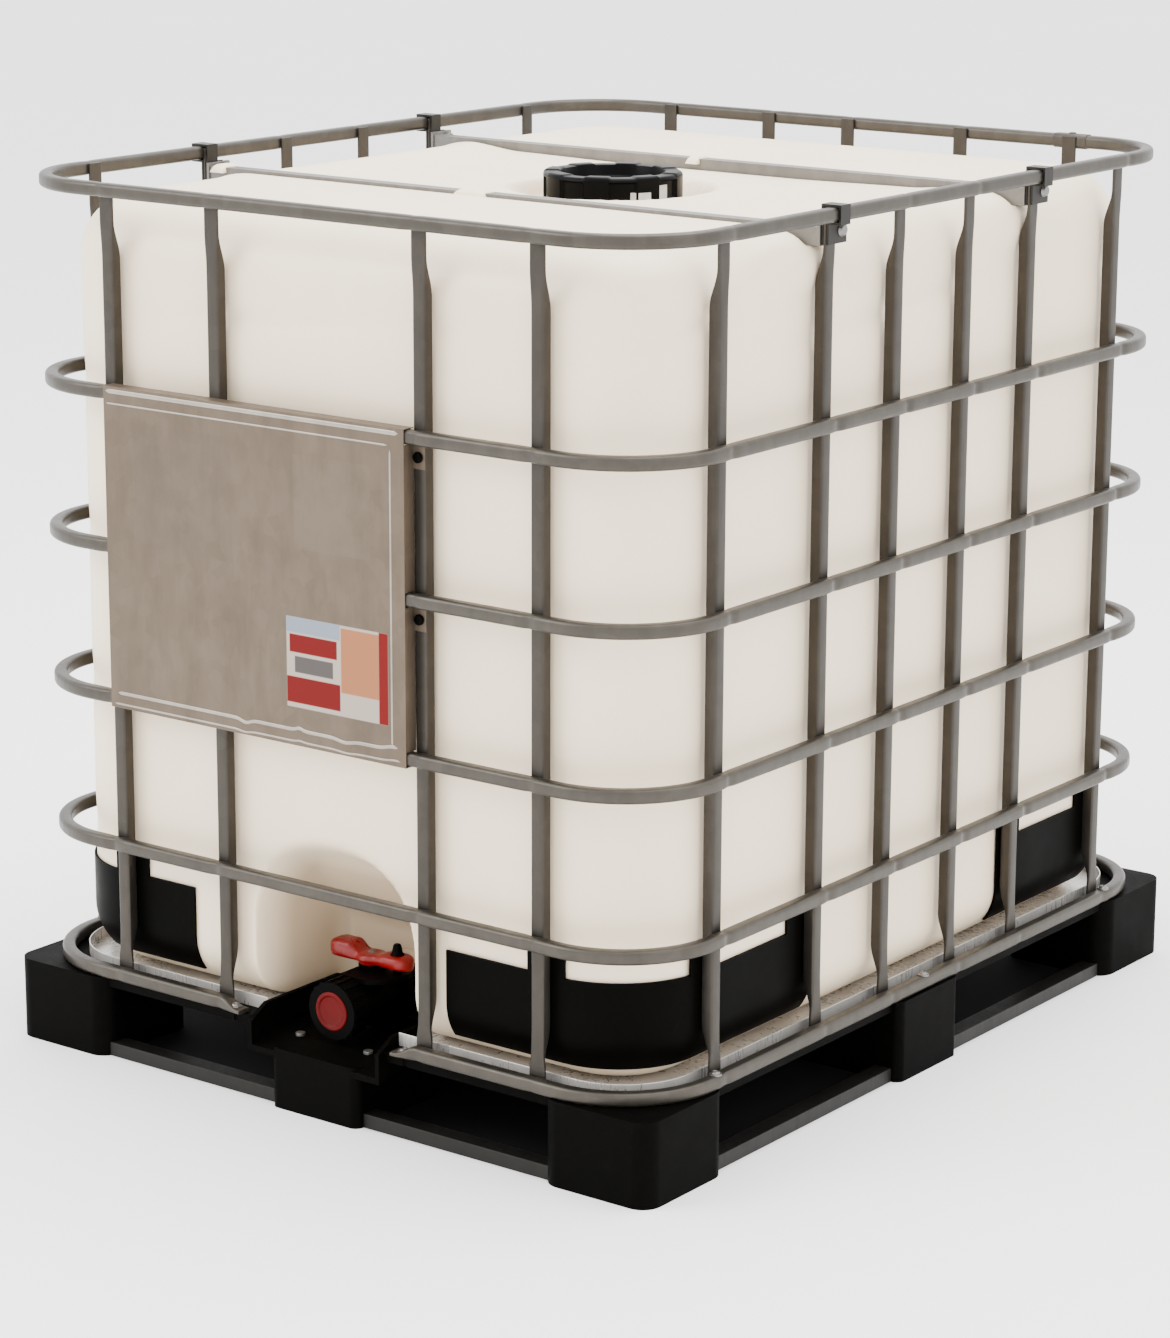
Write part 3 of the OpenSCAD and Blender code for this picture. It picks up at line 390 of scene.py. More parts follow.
def tank_finish(p):
    """Blown natural polyethylene: milky, faintly clouded wall, soft gloss, fine ripple, with painted shade in the
    recess over the valve and towards the bottom.
    """
    m = Mixer("tank_milk", Subsurface_Weight=0.22, Subsurface_Scale=0.02, Specular_IOR_Level=0.42)
    m.bsdf.inputs["Subsurface Radius"].default_value = (1.0, 0.75, 0.5)
    c = tuple(p.colour)
    cloud = m.noise(3.2, 4.0, 0.5)
    drip = m.noise(7.0, 3.0, 0.5, m.stretched(1.0, 1.0, 0.22))
    tone = m.blend(m.remap(cloud, 0.0, 1.0), shade(c, 0.955), shade(c, 1.03))
    tone = m.blend(m.remap(drip, 0.0, 0.22, 0.42, 0.7), tone, (c[0] * 0.92, c[1] * 0.90, c[2] * 0.85))
    # painted shade: the wall is painted darker towards the bottom
    low = m.wire("MapRange", {"Value": m.axis("Z"), "From Min": 0.10, "From Max": 0.60,
                              "To Min": 0.30, "To Max": 0.0}).outputs["Result"]
    tone = m.blend(low, tone, (c[0] * 0.90, c[1] * 0.875, c[2] * 0.82))
    # painted shade: the recess over the valve is painted darker, standing in for the shade that falls in it
    recess_shade_ramp = m.wire("MapRange", {"Value": m.axis("Y"), "From Min": TANK_LO[1] + 0.012, "From Max": TANK_LO[1] + 0.060,
                               "To Min": 0.0, "To Max": 0.85}).outputs["Result"]
    recess_shade_window = m.maths("MULTIPLY", m.band("X", -0.135, 0.135, 0.02), m.band("Z", 0.10, 0.345, 0.02))
    front = m.maths("MULTIPLY", m.maths("MULTIPLY", recess_shade_ramp, recess_shade_window), m.band("Y", -0.70, -0.38, 0.01))
    m.colour(m.blend(front, tone, (c[0] * 0.54, c[1] * 0.49, c[2] * 0.44)))
    m.rough(m.remap(cloud, 0.36, 0.48))
    m.bump((m.noise(9.0, 2.0), 0.35, 0.003), (m.noise(60.0, 3.0), 0.10, 0.0006), (m.noise(520.0, 2.0), 0.12, 0.0001))


def plate_finish(p):
    """Dull zinc sheet with traces of two old labels and a label of plain colour blocks."""
    m = steel("plate_zinc", tuple(p.colour), 0.6, 0.38, 0.52, 55.0, 0.05, 0.2)
    m.bsdf.inputs["Specular IOR Level"].default_value = 0.12
    base = m.bsdf.inputs["Base Color"].links[0].from_socket
    rough = m.bsdf.inputs["Roughness"].links[0].from_socket
    metal = 0.6
    lo, hi = span("id_plate")

    def patch(x0, x1, z0, z1):
        return m.maths("MULTIPLY", m.band("X", x0, x1), m.band("Z", z0, z1))

    w, h = hi[0] - lo[0], hi[2] - lo[2]

    def rel(u0, u1, v0, v1):
        return patch(lo[0] + w * u0, lo[0] + w * u1, lo[2] + h * v0, lo[2] + h * v1)

    worn = m.noise(38.0, 4.0, 0.7)
    ghost = m.maths("MULTIPLY", rel(0.10, 0.42, 0.52, 0.90), m.remap(worn, 0.10, 0.42, 0.4, 0.65))
    base = m.blend(ghost, base, (0.090, 0.068, 0.054))
    ghost2 = m.maths("MULTIPLY", rel(0.62, 0.86, 0.60, 0.88), m.remap(worn, 0.08, 0.30, 0.4, 0.65))
    base = m.blend(ghost2, base, (0.140, 0.110, 0.084))

    def label(u0, u1, v0, v1):
        return rel(0.592 + 0.320 * u0, 0.592 + 0.320 * u1, 0.118 + 0.274 * v0, 0.118 + 0.274 * v1)

    paper = label(0.0, 1.0, 0.0, 1.0)
    base = m.blend(paper, base, (0.31, 0.26, 0.22))
    for block, tone in ((label(0.0, 0.53, 0.83, 1.0), (0.17, 0.20, 0.24)),
                        (label(0.03, 0.50, 0.61, 0.81), (0.105, 0.0010, 0.0008)),
                        (label(0.08, 0.46, 0.39, 0.57), (0.060, 0.052, 0.050)),
                        (label(0.0, 0.53, 0.05, 0.34), (0.105, 0.0010, 0.0008)),
                        (label(0.54, 0.91, 0.26, 0.97), (0.27, 0.105, 0.045)),
                        (label(0.91, 1.0, 0.0, 1.0), (0.115, 0.0012, 0.0010))):
        base = m.blend(block, base, tone)
    m.colour(base)
    m.rough(m.wire("Mix", {"Factor": paper, "A": rough, "B": 0.5}).outputs[0])
    m.tree.links.new(m.maths("MULTIPLY", m.maths("SUBTRACT", 1.0, paper), metal), m.bsdf.inputs["Metallic"])


def lid_label_finish():
    """Plain off-white paper, faintly cloudy."""
    m = Mixer("blank_label", Roughness=0.5)
    m.colour(m.blend(m.remap(m.noise(120.0), 0.0, 1.0), (0.36, 0.35, 0.34), (0.46, 0.45, 0.44)))
    m.bump((m.noise(700.0), 0.1, 0.0001))


# ---------- tank ----------

def tank_levels(p):
    """Side profile from bottom to top as (inset, height): quarter circle, straight, quarter circle."""
    r0, r1, z0, z1 = TANK_HEEL, p.shoulder, TANK_FOOT, TANK_TOP
    a = np.linspace(0, math.pi / 2, 10)
    low = np.stack([r0 - r0 * np.sin(a), z0 + r0 - r0 * np.cos(a)], -1)
    mid = np.stack([np.zeros(88), np.linspace(z0 + r0, z1 - r1, 90)[1:-1]], -1)
    a = np.linspace(0, math.pi / 2, 17)
    high = np.stack([r1 - r1 * np.cos(a), z1 - r1 + r1 * np.sin(a)], -1)
    return np.concatenate([low, mid, high])


def tank_pads(y, z, inset, p):
    """Squares the shoulder beside each crossbar: there the edge is pushed out towards the
    corner of its arc, most at the middle of the arc."""
    r1 = p.shoulder
    t = np.clip((z - TANK_TOP + r1) / r1, 0, 1)
    pad = hill((np.abs(y) - BAR_Y) / 0.062, 1.0)
    grow = 0.62 * pad * 4 * t * (1 - t) * r1 * 0.29
    return inset - grow, z + grow


def tank_press(x, y, z, nx, p):
    """How far the wall is pressed in: a soft band at each hoop and upright, cushions between
    them, and long creases under the shoulder; nothing on the top face."""
    s = np.where(np.abs(nx) > 0.7, y, x)
    bars = np.where(np.abs(nx) > 0.7, sum(hill(s - b, 0.018) for b in SIDE_BARS),
                    sum(hill(s - b, 0.018) for b in FRONT_BARS))
    bands = sum(hill(z - h, 0.024) for h in HOOP_Z)
    d = p.bulge * (0.75 * bands + 0.45 * bars)
    d += 0.0016 * (0.5 + 0.5 * np.sin(6.1 * s + 1.3) * np.sin(5.3 * z + 0.7))
    crease = hill(z - 0.965 - 0.012 * np.sin(7.3 * s + 0.4), 0.014) * (0.55 + 0.45 * np.sin(9.1 * s + 2.0))
    fold = hill(z - 1.0 - 0.30 * (s + 0.44), 0.012) * smooth((0.30 - np.abs(s + 0.30)) / 0.1) * (nx > 0.2)
    d += 0.0050 * crease + 0.0046 * fold
    return d * smooth((TANK_TOP - 0.004 - z) / 0.05) * smooth((z - 0.13) / 0.06)


def tank_recess(x, y, z):
    """Moves front points back to the sloping wall over the valve, inside an arched outline."""
    half, knee, floor_y = 120 * MM, 216 * MM, -414.7 * MM
    edge = np.where(z < knee, half - np.abs(x), half - np.hypot(x, z - knee))
    wall = floor_y - np.maximum(z - 196 * MM, 0)
    depth = np.maximum(wall - y, 0) * (y < -0.4)
    return y + depth * smooth((edge + 0.008) / 0.030)


def tank_carve(x, y, z):
    """Lowers the top face: a shallow dish, a groove under each crossbar, the round hollow
    at the neck and the bore of the neck."""
    rr = np.hypot(x, y)
    groove = smooth((0.0170 - np.abs(np.abs(y) - BAR_Y)) / 0.006)
    dish = smooth((0.232 - np.abs(y)) / 0.016) * smooth((0.40 - np.abs(x)) / 0.09)
    floor = BAR_Z0 + 0.0085 + 0.003 * smooth((np.abs(x) - 0.12) / 0.22)
    z = z - dish * np.maximum(z - floor, 0)
    z = z - groove * np.maximum(z - BAR_Z0 + 0.0006, 0)
    z = z - smooth((0.132 - rr) / 0.016) * np.maximum(z - LID_Z0 + 0.0019, 0)
    return z - smooth((0.068 - rr) / 0.002) * np.maximum(z - 0.90, 0)


def tank_grid(p):
    """Wall and faces of the tank on one net. Stations run round the outline; the top and
    bottom faces are rows across it, each as wide as the outline there."""
    hx, hy, r = TANK_HI[0], TANK_HI[1], TANK_CORNER
    a = np.linspace(math.pi / 2, 0, 12)
    cx, cy = hx - r, hy - r
    cols = np.unique(np.round(np.concatenate([np.linspace(-1, 1, 71) * cx, *[
        s * np.linspace(0.105, 0.130, 12) for s in (-1, 1)], *[
        s * np.linspace(0.068, 0.080, 6) for s in (-1, 1)]]), 5))
    rows = np.unique(np.round(np.concatenate([np.linspace(-cy, cy, 90), *[
        s * BAR_Y + np.linspace(-0.019, 0.019, 15) for s in (-1, 1)], *[
        s * np.linspace(0.068, 0.080, 6) for s in (-1, 1)]]), 5))
    rows = rows[(rows >= -cy) & (rows <= cy)]
    t = np.clip(cols / cx, -1, 1)

    def outline(inset):
        ri = r - inset
        y = np.concatenate([-cy - ri * np.sin(a), rows[1:-1], cy + ri * np.sin(a[::-1])])
        w = np.concatenate([cx + ri * np.cos(a), np.full(len(rows) - 2, cx + ri), cx + ri * np.cos(a[::-1])])
        return y, w

    def loop(inset):
        y, w = outline(inset)
        n = len(t)
        front = np.stack([t * w[0], np.full(n, y[0])], -1)
        back = np.stack([t[::-1] * w[-1], np.full(n, y[-1])], -1)
        right = np.stack([w[1:-1], y[1:-1]], -1)
        left = np.stack([-w[-2:0:-1], y[-2:0:-1]], -1)
        return np.concatenate([front, right, back, left])

    base, inner = loop(0.0), loop(0.05)
    out = (base - inner) / 0.05
    wall = []
    side = np.abs(out[:, 0]) > 0.99
    for inset, z in tank_levels(p):
        q = loop(inset)
        d = tank_press(q[:, 0], q[:, 1], z, out[:, 0], p)
        i2, z2 = tank_pads(q[:, 1], np.full(len(q), z), inset, p)
        q = q + out * np.where(side, inset - i2, 0.0)[:, None] - out * d[:, None]
        wall.append(np.column_stack([q, np.where(side, np.minimum(z2, TANK_TOP), z)]))
    wall = np.array(wall)
    parts = [wall]
    for inset, z in (tank_levels(p)[-1], tank_levels(p)[0]):
        y, w = outline(inset)
        parts.append(np.stack(np.broadcast_arrays(t[None, :] * w[:, None], y[:, None], z), -1))
    done = []
    for k, g in enumerate(parts):
        x, y, z = g[..., 0], g[..., 1], g[..., 2]
        y = tank_recess(x, y, z)
        z = tank_carve(x, y, z)
        sump = smooth((0.0765 - np.abs(x)) / 0.003) * smooth((0.2985 - np.abs(y + 0.7)) / 0.004) * (k == 2)
        z = z - 0.0125 * sump * (y < -0.28)
        done.append(grid(np.stack([x, y, z], -1), ring_u=k == 0))
    return done


def tank_neck_rows():
    """Neck with a bead at its mouth, and its bore."""
    top, foot = LID_Z0 - 2.3 * MM + 24 * MM, LID_Z0 - 3.5 * MM
    prof = [(0.0725, foot - 0.05), (0.0725, top), (0.0792, top), (0.0792, top - 0.004), (0.0785, top - 0.006),
            (0.0785, foot), (0.088, foot - 0.002), (0.088, foot - 0.05)]
    return turned(np.vstack([soft_profile(prof, 0.0012), prof[:1]]), n=128)


def tank_nozzle_rows():
    """Nozzle from the recess wall to the valve, with a bead where it leaves the tank."""
    y0, y1 = -446.7 * MM, -410 * MM
    prof = [(0.025, y1), (0.025, y0), (0.030, y0), (0.030, -0.424), (0.0335, -0.419), (0.040, -0.4155), (0.040, y1)]
    prof = np.vstack([soft_profile(prof, 0.0012), prof[:1]])
    return turned(prof, (0, 0, AXIS_Z), "y", 96)


def lug_rows(x0, x1, y0, y1, z0, z1):
    """Small moulded saddle over a crossbar: a crowned pad whose height falls off at its rim."""
    u = np.linspace(-1, 1, 15)
    uu, vv = np.meshgrid(u, u, indexing="ij")
    x = (x0 + x1) / 2 + (x1 - x0) / 2 * uu
    y = (y0 + y1) / 2 + (y1 - y0) / 2 * vv
    fall = (1 - np.abs(uu) ** 5) * (1 - np.abs(vv) ** 5)
    top = np.stack([x, y, z0 + (z1 - z0) * fall ** 0.6], -1)
    low = np.stack([x, y, np.full_like(x, z0 - 0.0005)], -1)
    return slab(top, low)


class IBC_OT_tank(bpy.types.Operator):
    """Build the blown tank, its neck and its outlet nozzle"""
    bl_idname = "ibc.tank"
    bl_label = "Tank"

    def execute(self, context):
        p = context.scene.ibc.tank
        make("tank_skin", tank_grid(p), "tank_milk", "tank", replaces=["tank"], angle=70)
        make("tank_neck", [tank_neck_rows()], "tank_milk", "tank")
        make("tank_nozzle", [tank_nozzle_rows()], "tank_milk", "tank")
        z0, z1 = BAR_Z1 - 0.006, BAR_Z1 + 0.0035
        parts = []
        for x0, x1, y in ((-0.462, -0.440, -BAR_Y), (-0.064, -0.014, -BAR_Y), (-0.038, -0.020, BAR_Y)):
            parts += lug_rows(x0, x1, y - 0.018, y + 0.018, z0, z1)
        make("tank_lugs", parts, "tank_milk", "tank")
        return {"FINISHED"}


# ---------- cage ----------

def ring_stations(marks_x, marks_x_back, marks_y):
    """Stations round a hoop's centre line, close together at the crossings:
    points, outward normals and the closeness to the nearest crossing."""
    near = np.array([-20, -15, -11, -8, -6, -4, -2, 0, 2, 4, 6, 8, 11, 15, 20]) * MM
    cx, cy = RX - HOOP_R, RY - HOOP_R

    def straight(half, marks):
        ends = [[-half, half], np.linspace(-half, half, 12)]
        s = np.unique(np.round(np.concatenate(ends + [m + near for m in marks]), 5))
        s = s[(s >= -half - 1e-9) & (s <= half + 1e-9)]
        w = sum(hill(s - m, WELD_HALF) for m in marks)
        return s, w

    pts, nor, wgt = [], [], []

    def run(s, w, axis, side, reverse):
        s, w = (s[::-1], w[::-1]) if reverse else (s, w)
        one = np.full(len(s), 1.0)
        if axis == "x":
            pts.append(np.stack([s, side * RY * one], -1))
            nor.append(np.stack([0 * one, side * one], -1))
        else:
            pts.append(np.stack([side * RX * one, s], -1))
            nor.append(np.stack([side * one, 0 * one], -1))
        wgt.append(w)

    def corner(sx, sy, a0):
        a = np.radians(np.linspace(a0, a0 + 90, 20)[1:-1])
        n = np.stack([np.cos(a), np.sin(a)], -1)
        pts.append(n * HOOP_R + [sx * cx, sy * cy])
        nor.append(n)
        wgt.append(np.zeros(len(a)))

    run(*straight(cx, marks_x), "x", -1, False)
    corner(1, -1, -90)
    run(*straight(cy, marks_y), "y", 1, False)
    corner(1, 1, 0)
    run(*straight(cx, marks_x_back), "x", 1, True)
    corner(-1, 1, 90)
    run(*straight(cy, marks_y), "y", -1, True)
    corner(-1, -1, 180)
    return np.concatenate(pts), np.concatenate(nor), np.concatenate(wgt)


def tube_rows(pts, nor, wgt, z, dent, flat=None):
    """Tube section carried along stations: outward offset a and height b of the section,
    with the outer face pressed in by the dent at each crossing and squeezed where flat."""
    sec = rounded(TUBE / 2, TUBE / 2, 5 * MM, 6)
    a = np.broadcast_to(sec[:, 0], (len(pts), len(sec)))
    b = np.broadcast_to(sec[:, 1], (len(pts), len(sec)))
    w = wgt[:, None]
    face = np.where(a > 0, 1.0, 0.35)
    a = a - np.sign(a) * dent * w * face * (1 - 0.55 * (b / (TUBE / 2)) ** 2)
    b = b * (1 - 0.05 * w)
    if flat is not None:
        k = flat[:, None]
        a = a * (1 + 0.22 * k)
        b = -TUBE / 2 + (b + TUBE / 2) * (1 - 0.66 * k)
    xy = pts[:, None, :] + nor[:, None, :] * a[..., None]
    return np.concatenate([xy, (z + b)[..., None]], -1)


class IBC_OT_hoops(bpy.types.Operator):
    """Build the hoops and rings of bent tube, dented where the uprights are welded on"""
    bl_idname = "ibc.hoops"
    bl_label = "Hoops and rings"

    def execute(self, context):
        p = context.scene.ibc.cage
        st = ring_stations(FRONT_BARS, BACK_BARS, SIDE_BARS)
        for k, z in enumerate(HOOP_Z):
            make(f"cage_hoop_{k + 1}", [grid(tube_rows(*st, z, p.dent), ring_v=True)], "cage_hoop",
                 f"hoop_{k + 1}", replaces=[f"hoop_{k + 1}"])
        top = tube_rows(*st, RING_TOP_Z, p.dent * 0.6)
        make("cage_ring_top", [grid(top, ring_v=True)], "cage_hoop", "ring_top", replaces=["ring_top"])
        # bottom ring, open at the front: start and end at the gap, squeezed at both ends
        pts, nor, wgt = st
        front = (pts[:, 1] < -RY + 1e-4)
        keep_r = front & (pts[:, 0] > GAP_END + 0.012)
        keep_l = front & (pts[:, 0] < -GAP_END - 0.012)
        first, last = np.flatnonzero(keep_r)[0], np.flatnonzero(keep_l)[-1]
        order = np.concatenate([np.arange(first, len(pts)), np.arange(0, last + 1)])
        lead = np.linspace(GAP_END, GAP_END + 0.03, 7)
        extra = np.stack([lead, np.full(7, -RY)], -1)
        path = np.concatenate([extra, pts[order][pts[order][:, 0] > -9], extra[::-1] * [-1, 1]])
        normal = np.concatenate([np.tile([0.0, -1.0], (7, 1)), nor[order], np.tile([0.0, -1.0], (7, 1))])
        weight = np.concatenate([np.zeros(7), wgt[order], np.zeros(7)])
        keep = np.ones(len(path), bool)
        keep[7:-7] = ~((path[7:-7, 1] < -RY + 1e-4) & (np.abs(path[7:-7, 0]) < GAP_END + 0.034))
        path, normal, weight = path[keep], normal[keep], weight[keep]
        on_front = path[:, 1] < -RY + 1e-4
        flat = np.where(on_front, smooth((GAP_END + 0.034 - np.abs(path[:, 0])) / 0.03), 0.0)
        rows = tube_rows(path, normal, weight, RING_LOW_Z, p.dent * 0.6, flat)
        make("cage_ring_bottom", [grid(capped(rows))], "cage_hoop", "ring_bottom", replaces=["ring_bottom"])
        # sleeve over the joint of the top ring, at the back, with its rivet
        sec = rounded(TUBE / 2 + 0.0012, TUBE / 2 + 0.0012, 5.5 * MM, 6)
        xs = np.array([0.300, 0.3006, 0.3014, 0.3486, 0.3494, 0.350])
        inset = np.array([0.0011, 0.0003, 0, 0, 0.0003, 0.0011])
        rows = [np.column_stack([np.full(len(sec), x), RY + sec[:, 0] * (1 - i / 0.0097),
                                 RING_TOP_Z + sec[:, 1] * (1 - i / 0.0097)]) for x, i in zip(xs, inset)]
        rivet = turned(soft_profile([(0, 0.0118), (0.0045, 0.0112), (0.0055, 0.009), (0, 0.009)], 0.0008),
                       (0.325, RY, RING_TOP_Z), "z", 24)
        make("cage_ring_sleeve", [grid(capped(rows)), rivet], "cage_hoop", "ring_top")
        return {"FINISHED"}


def upright_rows(p):
    """One upright: a round-cornered box section carried up, flattened to a thin, slightly
    wider tongue at each end and nipped in at every hoop."""
    z0, z1 = 105.3 * MM, RING_TOP_Z + TUBE / 2 - 2 * MM
    za, zb = z0 + 30 * MM, BAR_Z0 - 1 * MM
    near = np.array([-16, -12, -9, -6, -3, 0, 3, 6, 9, 12, 16]) * MM
    z = np.unique(np.round(np.concatenate([
        [z0, z0 + 0.002, z1 - 0.002, z1], np.linspace(za - 0.006, za + 0.055, 12),
        np.linspace(zb - 0.055, zb + 0.006, 12), np.linspace(za + 0.06, zb - 0.06, 26)]
        + [h + near for h in HOOP_Z]), 5))
    low, high = smooth((za + 0.045 - z) / 0.045), smooth((z - zb + 0.045) / 0.045)
    thin = np.maximum(low, high)
    depth = p.upright_depth + (4 * MM - p.upright_depth) * thin
    half = p.upright_width / 2 + 0.0022 * smooth((za + 0.012 - z) / 0.02) + 0.0012 * high
    nip = sum(hill(z - h, WELD_HALF) for h in HOOP_Z)
    sec = rounded(1.0, 1.0, 0.36, 5)
    x = sec[None, :, 0] * half[:, None]
    y = depth[:, None] / 2 * (1 + sec[None, :, 1])
    inner = smooth(sec[None, :, 1] * 2) * nip[:, None]
    y = y - 0.0016 * inner * (1 - sec[None, :, 0] ** 2)
    x = x * (1 + 0.04 * nip[:, None])
    end = np.minimum(smooth((z - z0) / 0.002 + 0.5), smooth((z1 - z) / 0.002 + 0.5))[:, None]
    x = x * (0.93 + 0.07 * end)
    return np.stack([x, y, np.broadcast_to(z[:, None], x.shape)], -1)


class IBC_OT_uprights(bpy.types.Operator):
    """Build the uprights of the four sides, with their flattened ends"""
    bl_idname = "ibc.uprights"
    bl_label = "Uprights"

    def execute(self, context):
        p = context.scene.ibc.cage
        rows = upright_rows(p)
        sides = {
            "front": [(x, -UY, 0) for x in FRONT_BARS],
            "back": [(x, UY, 180) for x in BACK_BARS],
            "left": [(-UX, y, -90) for y in SIDE_BARS],
            "right": [(UX, y, 90) for y in SIDE_BARS],
        }
        for side, places in sides.items():
            parts = []
            for x, y, turn in places:
                c, s = round(math.cos(math.radians(turn))), round(math.sin(math.radians(turn)))
                m = np.array([[c, s, 0], [-s, c, 0], [0, 0, 1.0]])
                parts.append(grid(capped(rows @ m + [x, y, 0])))
            make(f"cage_uprights_{side}", parts, "cage_upright", f"uprights_{side}", replaces=[f"uprights_{side}"])
        return {"FINISHED"}


class IBC_OT_bars(bpy.types.Operator):
    """Round the edges of the crossbars, their straps, bolts and nuts"""
    bl_idname = "ibc.bars"
    bl_label = "Crossbars and straps"

    def execute(self, context):
        for n in ("crossbar_front", "crossbar_back"):
            softened(n, "bar_steel", 0.0022, 3)
        softened("crossbar_straps", "strap_steel_painted_shade", 0.0009)
        softened("strap_bolts", "screw_zinc", 0.0008)
        softened("strap_nuts", "screw_zinc", 0.0007)
        return {"FINISHED"}


def hem_rows(start, end, wide, proud, wave):
    """Folded hem: half an ellipse carried along a straight edge of the plate. Its middle line
    is shifted across the edge by a sum of smooth hills, where the sheet has been bent."""
    start, end = np.array(start), np.array(end)
    s = np.linspace(0, 1, 97)
    along = (end - start) / np.linalg.norm(end - start)
    across = np.cross(along, (0, -1, 0))
    a = np.linspace(0, 2 * math.pi, 16, endpoint=False)
    shift = wave * (hill(s - 0.47, 0.02) - 0.7 * hill(s - 0.66, 0.015) + 0.8 * hill(s - 0.82, 0.03)
                    - hill(s - 0.985, 0.03))
    slim = np.clip(np.minimum(s, 1 - s) / 0.01, 0.15, 1)
    mid = start + s[:, None] * (end - start) + shift[:, None] * across
    out = np.maximum(np.sin(a), -0.3) * proud
    rows = (mid[:, None, :] + (slim[:, None] * np.cos(a) * wide / 2)[..., None] * across
            + (slim[:, None] * out)[..., None] * np.array((0, -1, 0)))
    return grid(capped(rows))


def plate_hems():
    """Top, bottom and right hems, and the crease beside the right one."""
    lo, hi = span("id_plate")
    y = lo[1] + 0.0001
    x1 = lo[0] + 0.956 * (hi[0] - lo[0] - 0.017)
    return [((lo[0] + 0.004, y, hi[2] - 0.006), (x1 + 0.012, y, hi[2] - 0.006), 0.0055, 0.0010, 0.0),
            ((lo[0] + 0.004, y, hi[2] - 0.021), (x1 - 0.004, y, hi[2] - 0.021), 0.0022, 0.0006, 0.0),
            ((lo[0] + 0.012, y, lo[2] + 0.019), (x1 + 0.008, y, lo[2] + 0.019), 0.0045, 0.0010, 0.0040),
            ((lo[0] + 0.006, y, lo[2] + 0.005), (x1 + 0.012, y, lo[2] + 0.005), 0.0026, 0.0007, 0.0020),
            ((x1, y, lo[2] + 0.024), (x1, y, hi[2] - 0.026), 0.0026, 0.0007, 0.0)]


class IBC_OT_plate(bpy.types.Operator):
    """Build the identification plate and its clips"""
    bl_idname = "ibc.plate"
    bl_label = "Plate"

    def execute(self, context):
        softened("id_plate", "plate_zinc", 0.0004, 2)
        make("plate_hems", [hem_rows(*h) for h in plate_hems()], "hem_zinc_painted_highlight", "id_plate")
        softened("plate_clips", "valve_black", 0.0006)
        return {"FINISHED"}


# ---------- pallet ----------

class IBC_OT_pallet(bpy.types.Operator):
    """Round the feet, deck, runners, pan and screws of the pallet"""
    bl_idname = "ibc.pallet"
    bl_label = "Pallet"

    def execute(self, context):
        p = context.scene.ibc.pallet
        for n in ("foot_front_left", "foot_front_right", "foot_back_left", "foot_back_right",
                  "foot_mid_left", "foot_mid_right", "foot_mid_back", "foot_centre"):
            softened(n, "foot_black", p.foot_edge, 3)
        softened("foot_valve_trough", "foot_black", 0.0015, 2)
        softened("pallet_deck", "foot_black", 0.002, 2)
        softened("floor_pan", "pan_zinc_and_painted_highlight", 0.0005, 2, top=FOOT_TOP + p.rim)
        for n in ("runner_front", "runner_back", "runner_left", "runner_right", "runner_centre"):
            softened(n, "runner_zinc_painted_shade", 0.002, 3)
        heads = [(s * RX, 0, RING_LOW_Z + TUBE / 2) for s in (-1, 1)] + [(0, RY, RING_LOW_Z + TUBE / 2)]
        heads += [(s * RX, t * (RY - HOOP_R - 0.012), RING_LOW_Z + TUBE / 2) for s in (-1, 1) for t in (-1, 1)]
        heads += [(s * 0.134, -RY, RING_LOW_Z - TUBE / 2 + 0.0063) for s in (-1, 1)]
        dome = [(0, -0.001), (0.0075, -0.001), (0.0075, 0.0013), (0.0056, 0.0016), (0.0048, 0.0034), (0.0026, 0.0044),
                (0.0024, 0.0030), (0, 0.0028)]
        make("ring_screw_heads", [turned(soft_profile(dome, 0.0004, 2), c, n=32) for c in heads], "screw_zinc",
             "cage_screws", replaces=["cage_screws"])
        softened("foot_screws", "screw_zinc", 0.0005)
        return {"FINISHED"}


class IBC_OT_guards(bpy.types.Operator):
    """Round the edges of the four corner guards"""
    bl_idname = "ibc.guards"
    bl_label = "Corner guards"

    def execute(self, context):
        for n in ("guard_front_left", "guard_front_right", "guard_back_left", "guard_back_right"):
            softened(n, "guard_black", 0.0009, 2)
        return {"FINISHED"}


# ---------- lid ----------

def lid_shape(p):
    """Lid: the side is pressed in at each pocket by a flat-bottomed notch with steep ends,
    and the rim round the top rises between the pockets."""
    z0, z1 = LID_Z0, span("fill_lid")[1][2]

    def shape(a, r, h):
        k = np.cos(p.pockets * a)
        pocket = smooth((k + 0.15) / 0.3)
        side = smooth((r - 0.076) / 0.004) * smooth((h - z0 - 0.007) / 0.002) * smooth((z1 - 0.0055 - h) / 0.003)
        r = r - p.pocket_depth * pocket * side
        rim = smooth((r - 0.0655) / 0.003) * (h > z1 - 0.02)
        h = h - 0.0016 * pocket * rim * smooth((h - z1 + 0.010) / 0.008)
        return r, h

    top = z1
    out = [(0, top - 0.0205), (0.022, top - 0.0205), (0.023, top - 0.017), (0.029, top - 0.017),
           (0.030, top - 0.0195), (0.058, top - 0.0195), (0.0655, top - 0.0150), (0.0670, top - 0.001),
           (0.0695, top), (0.0845, top), (0.0872, top - 0.0015), (0.0885, top - 0.0045),
           (0.0885, top - 0.0062), (0.0885, top - 0.0078), (0.0885, top - 0.0090),
           (0.0885, top - 0.0120), (0.0885, z0 + 0.012), (0.0885, z0 + 0.0090),
           (0.0890, z0 + 0.0065), (0.0945, z0 + 0.0055), (0.095, z0 + 0.004), (0.095, z0 + 0.001), (0.094, z0)]
    inner = [(0.0800, z0), (0.0800, top - 0.0305), (0.0, top - 0.0305)]
    prof = np.vstack([soft_profile(out, 0.0010, 2), inner])
    return turned(prof, n=288, shape=shape)


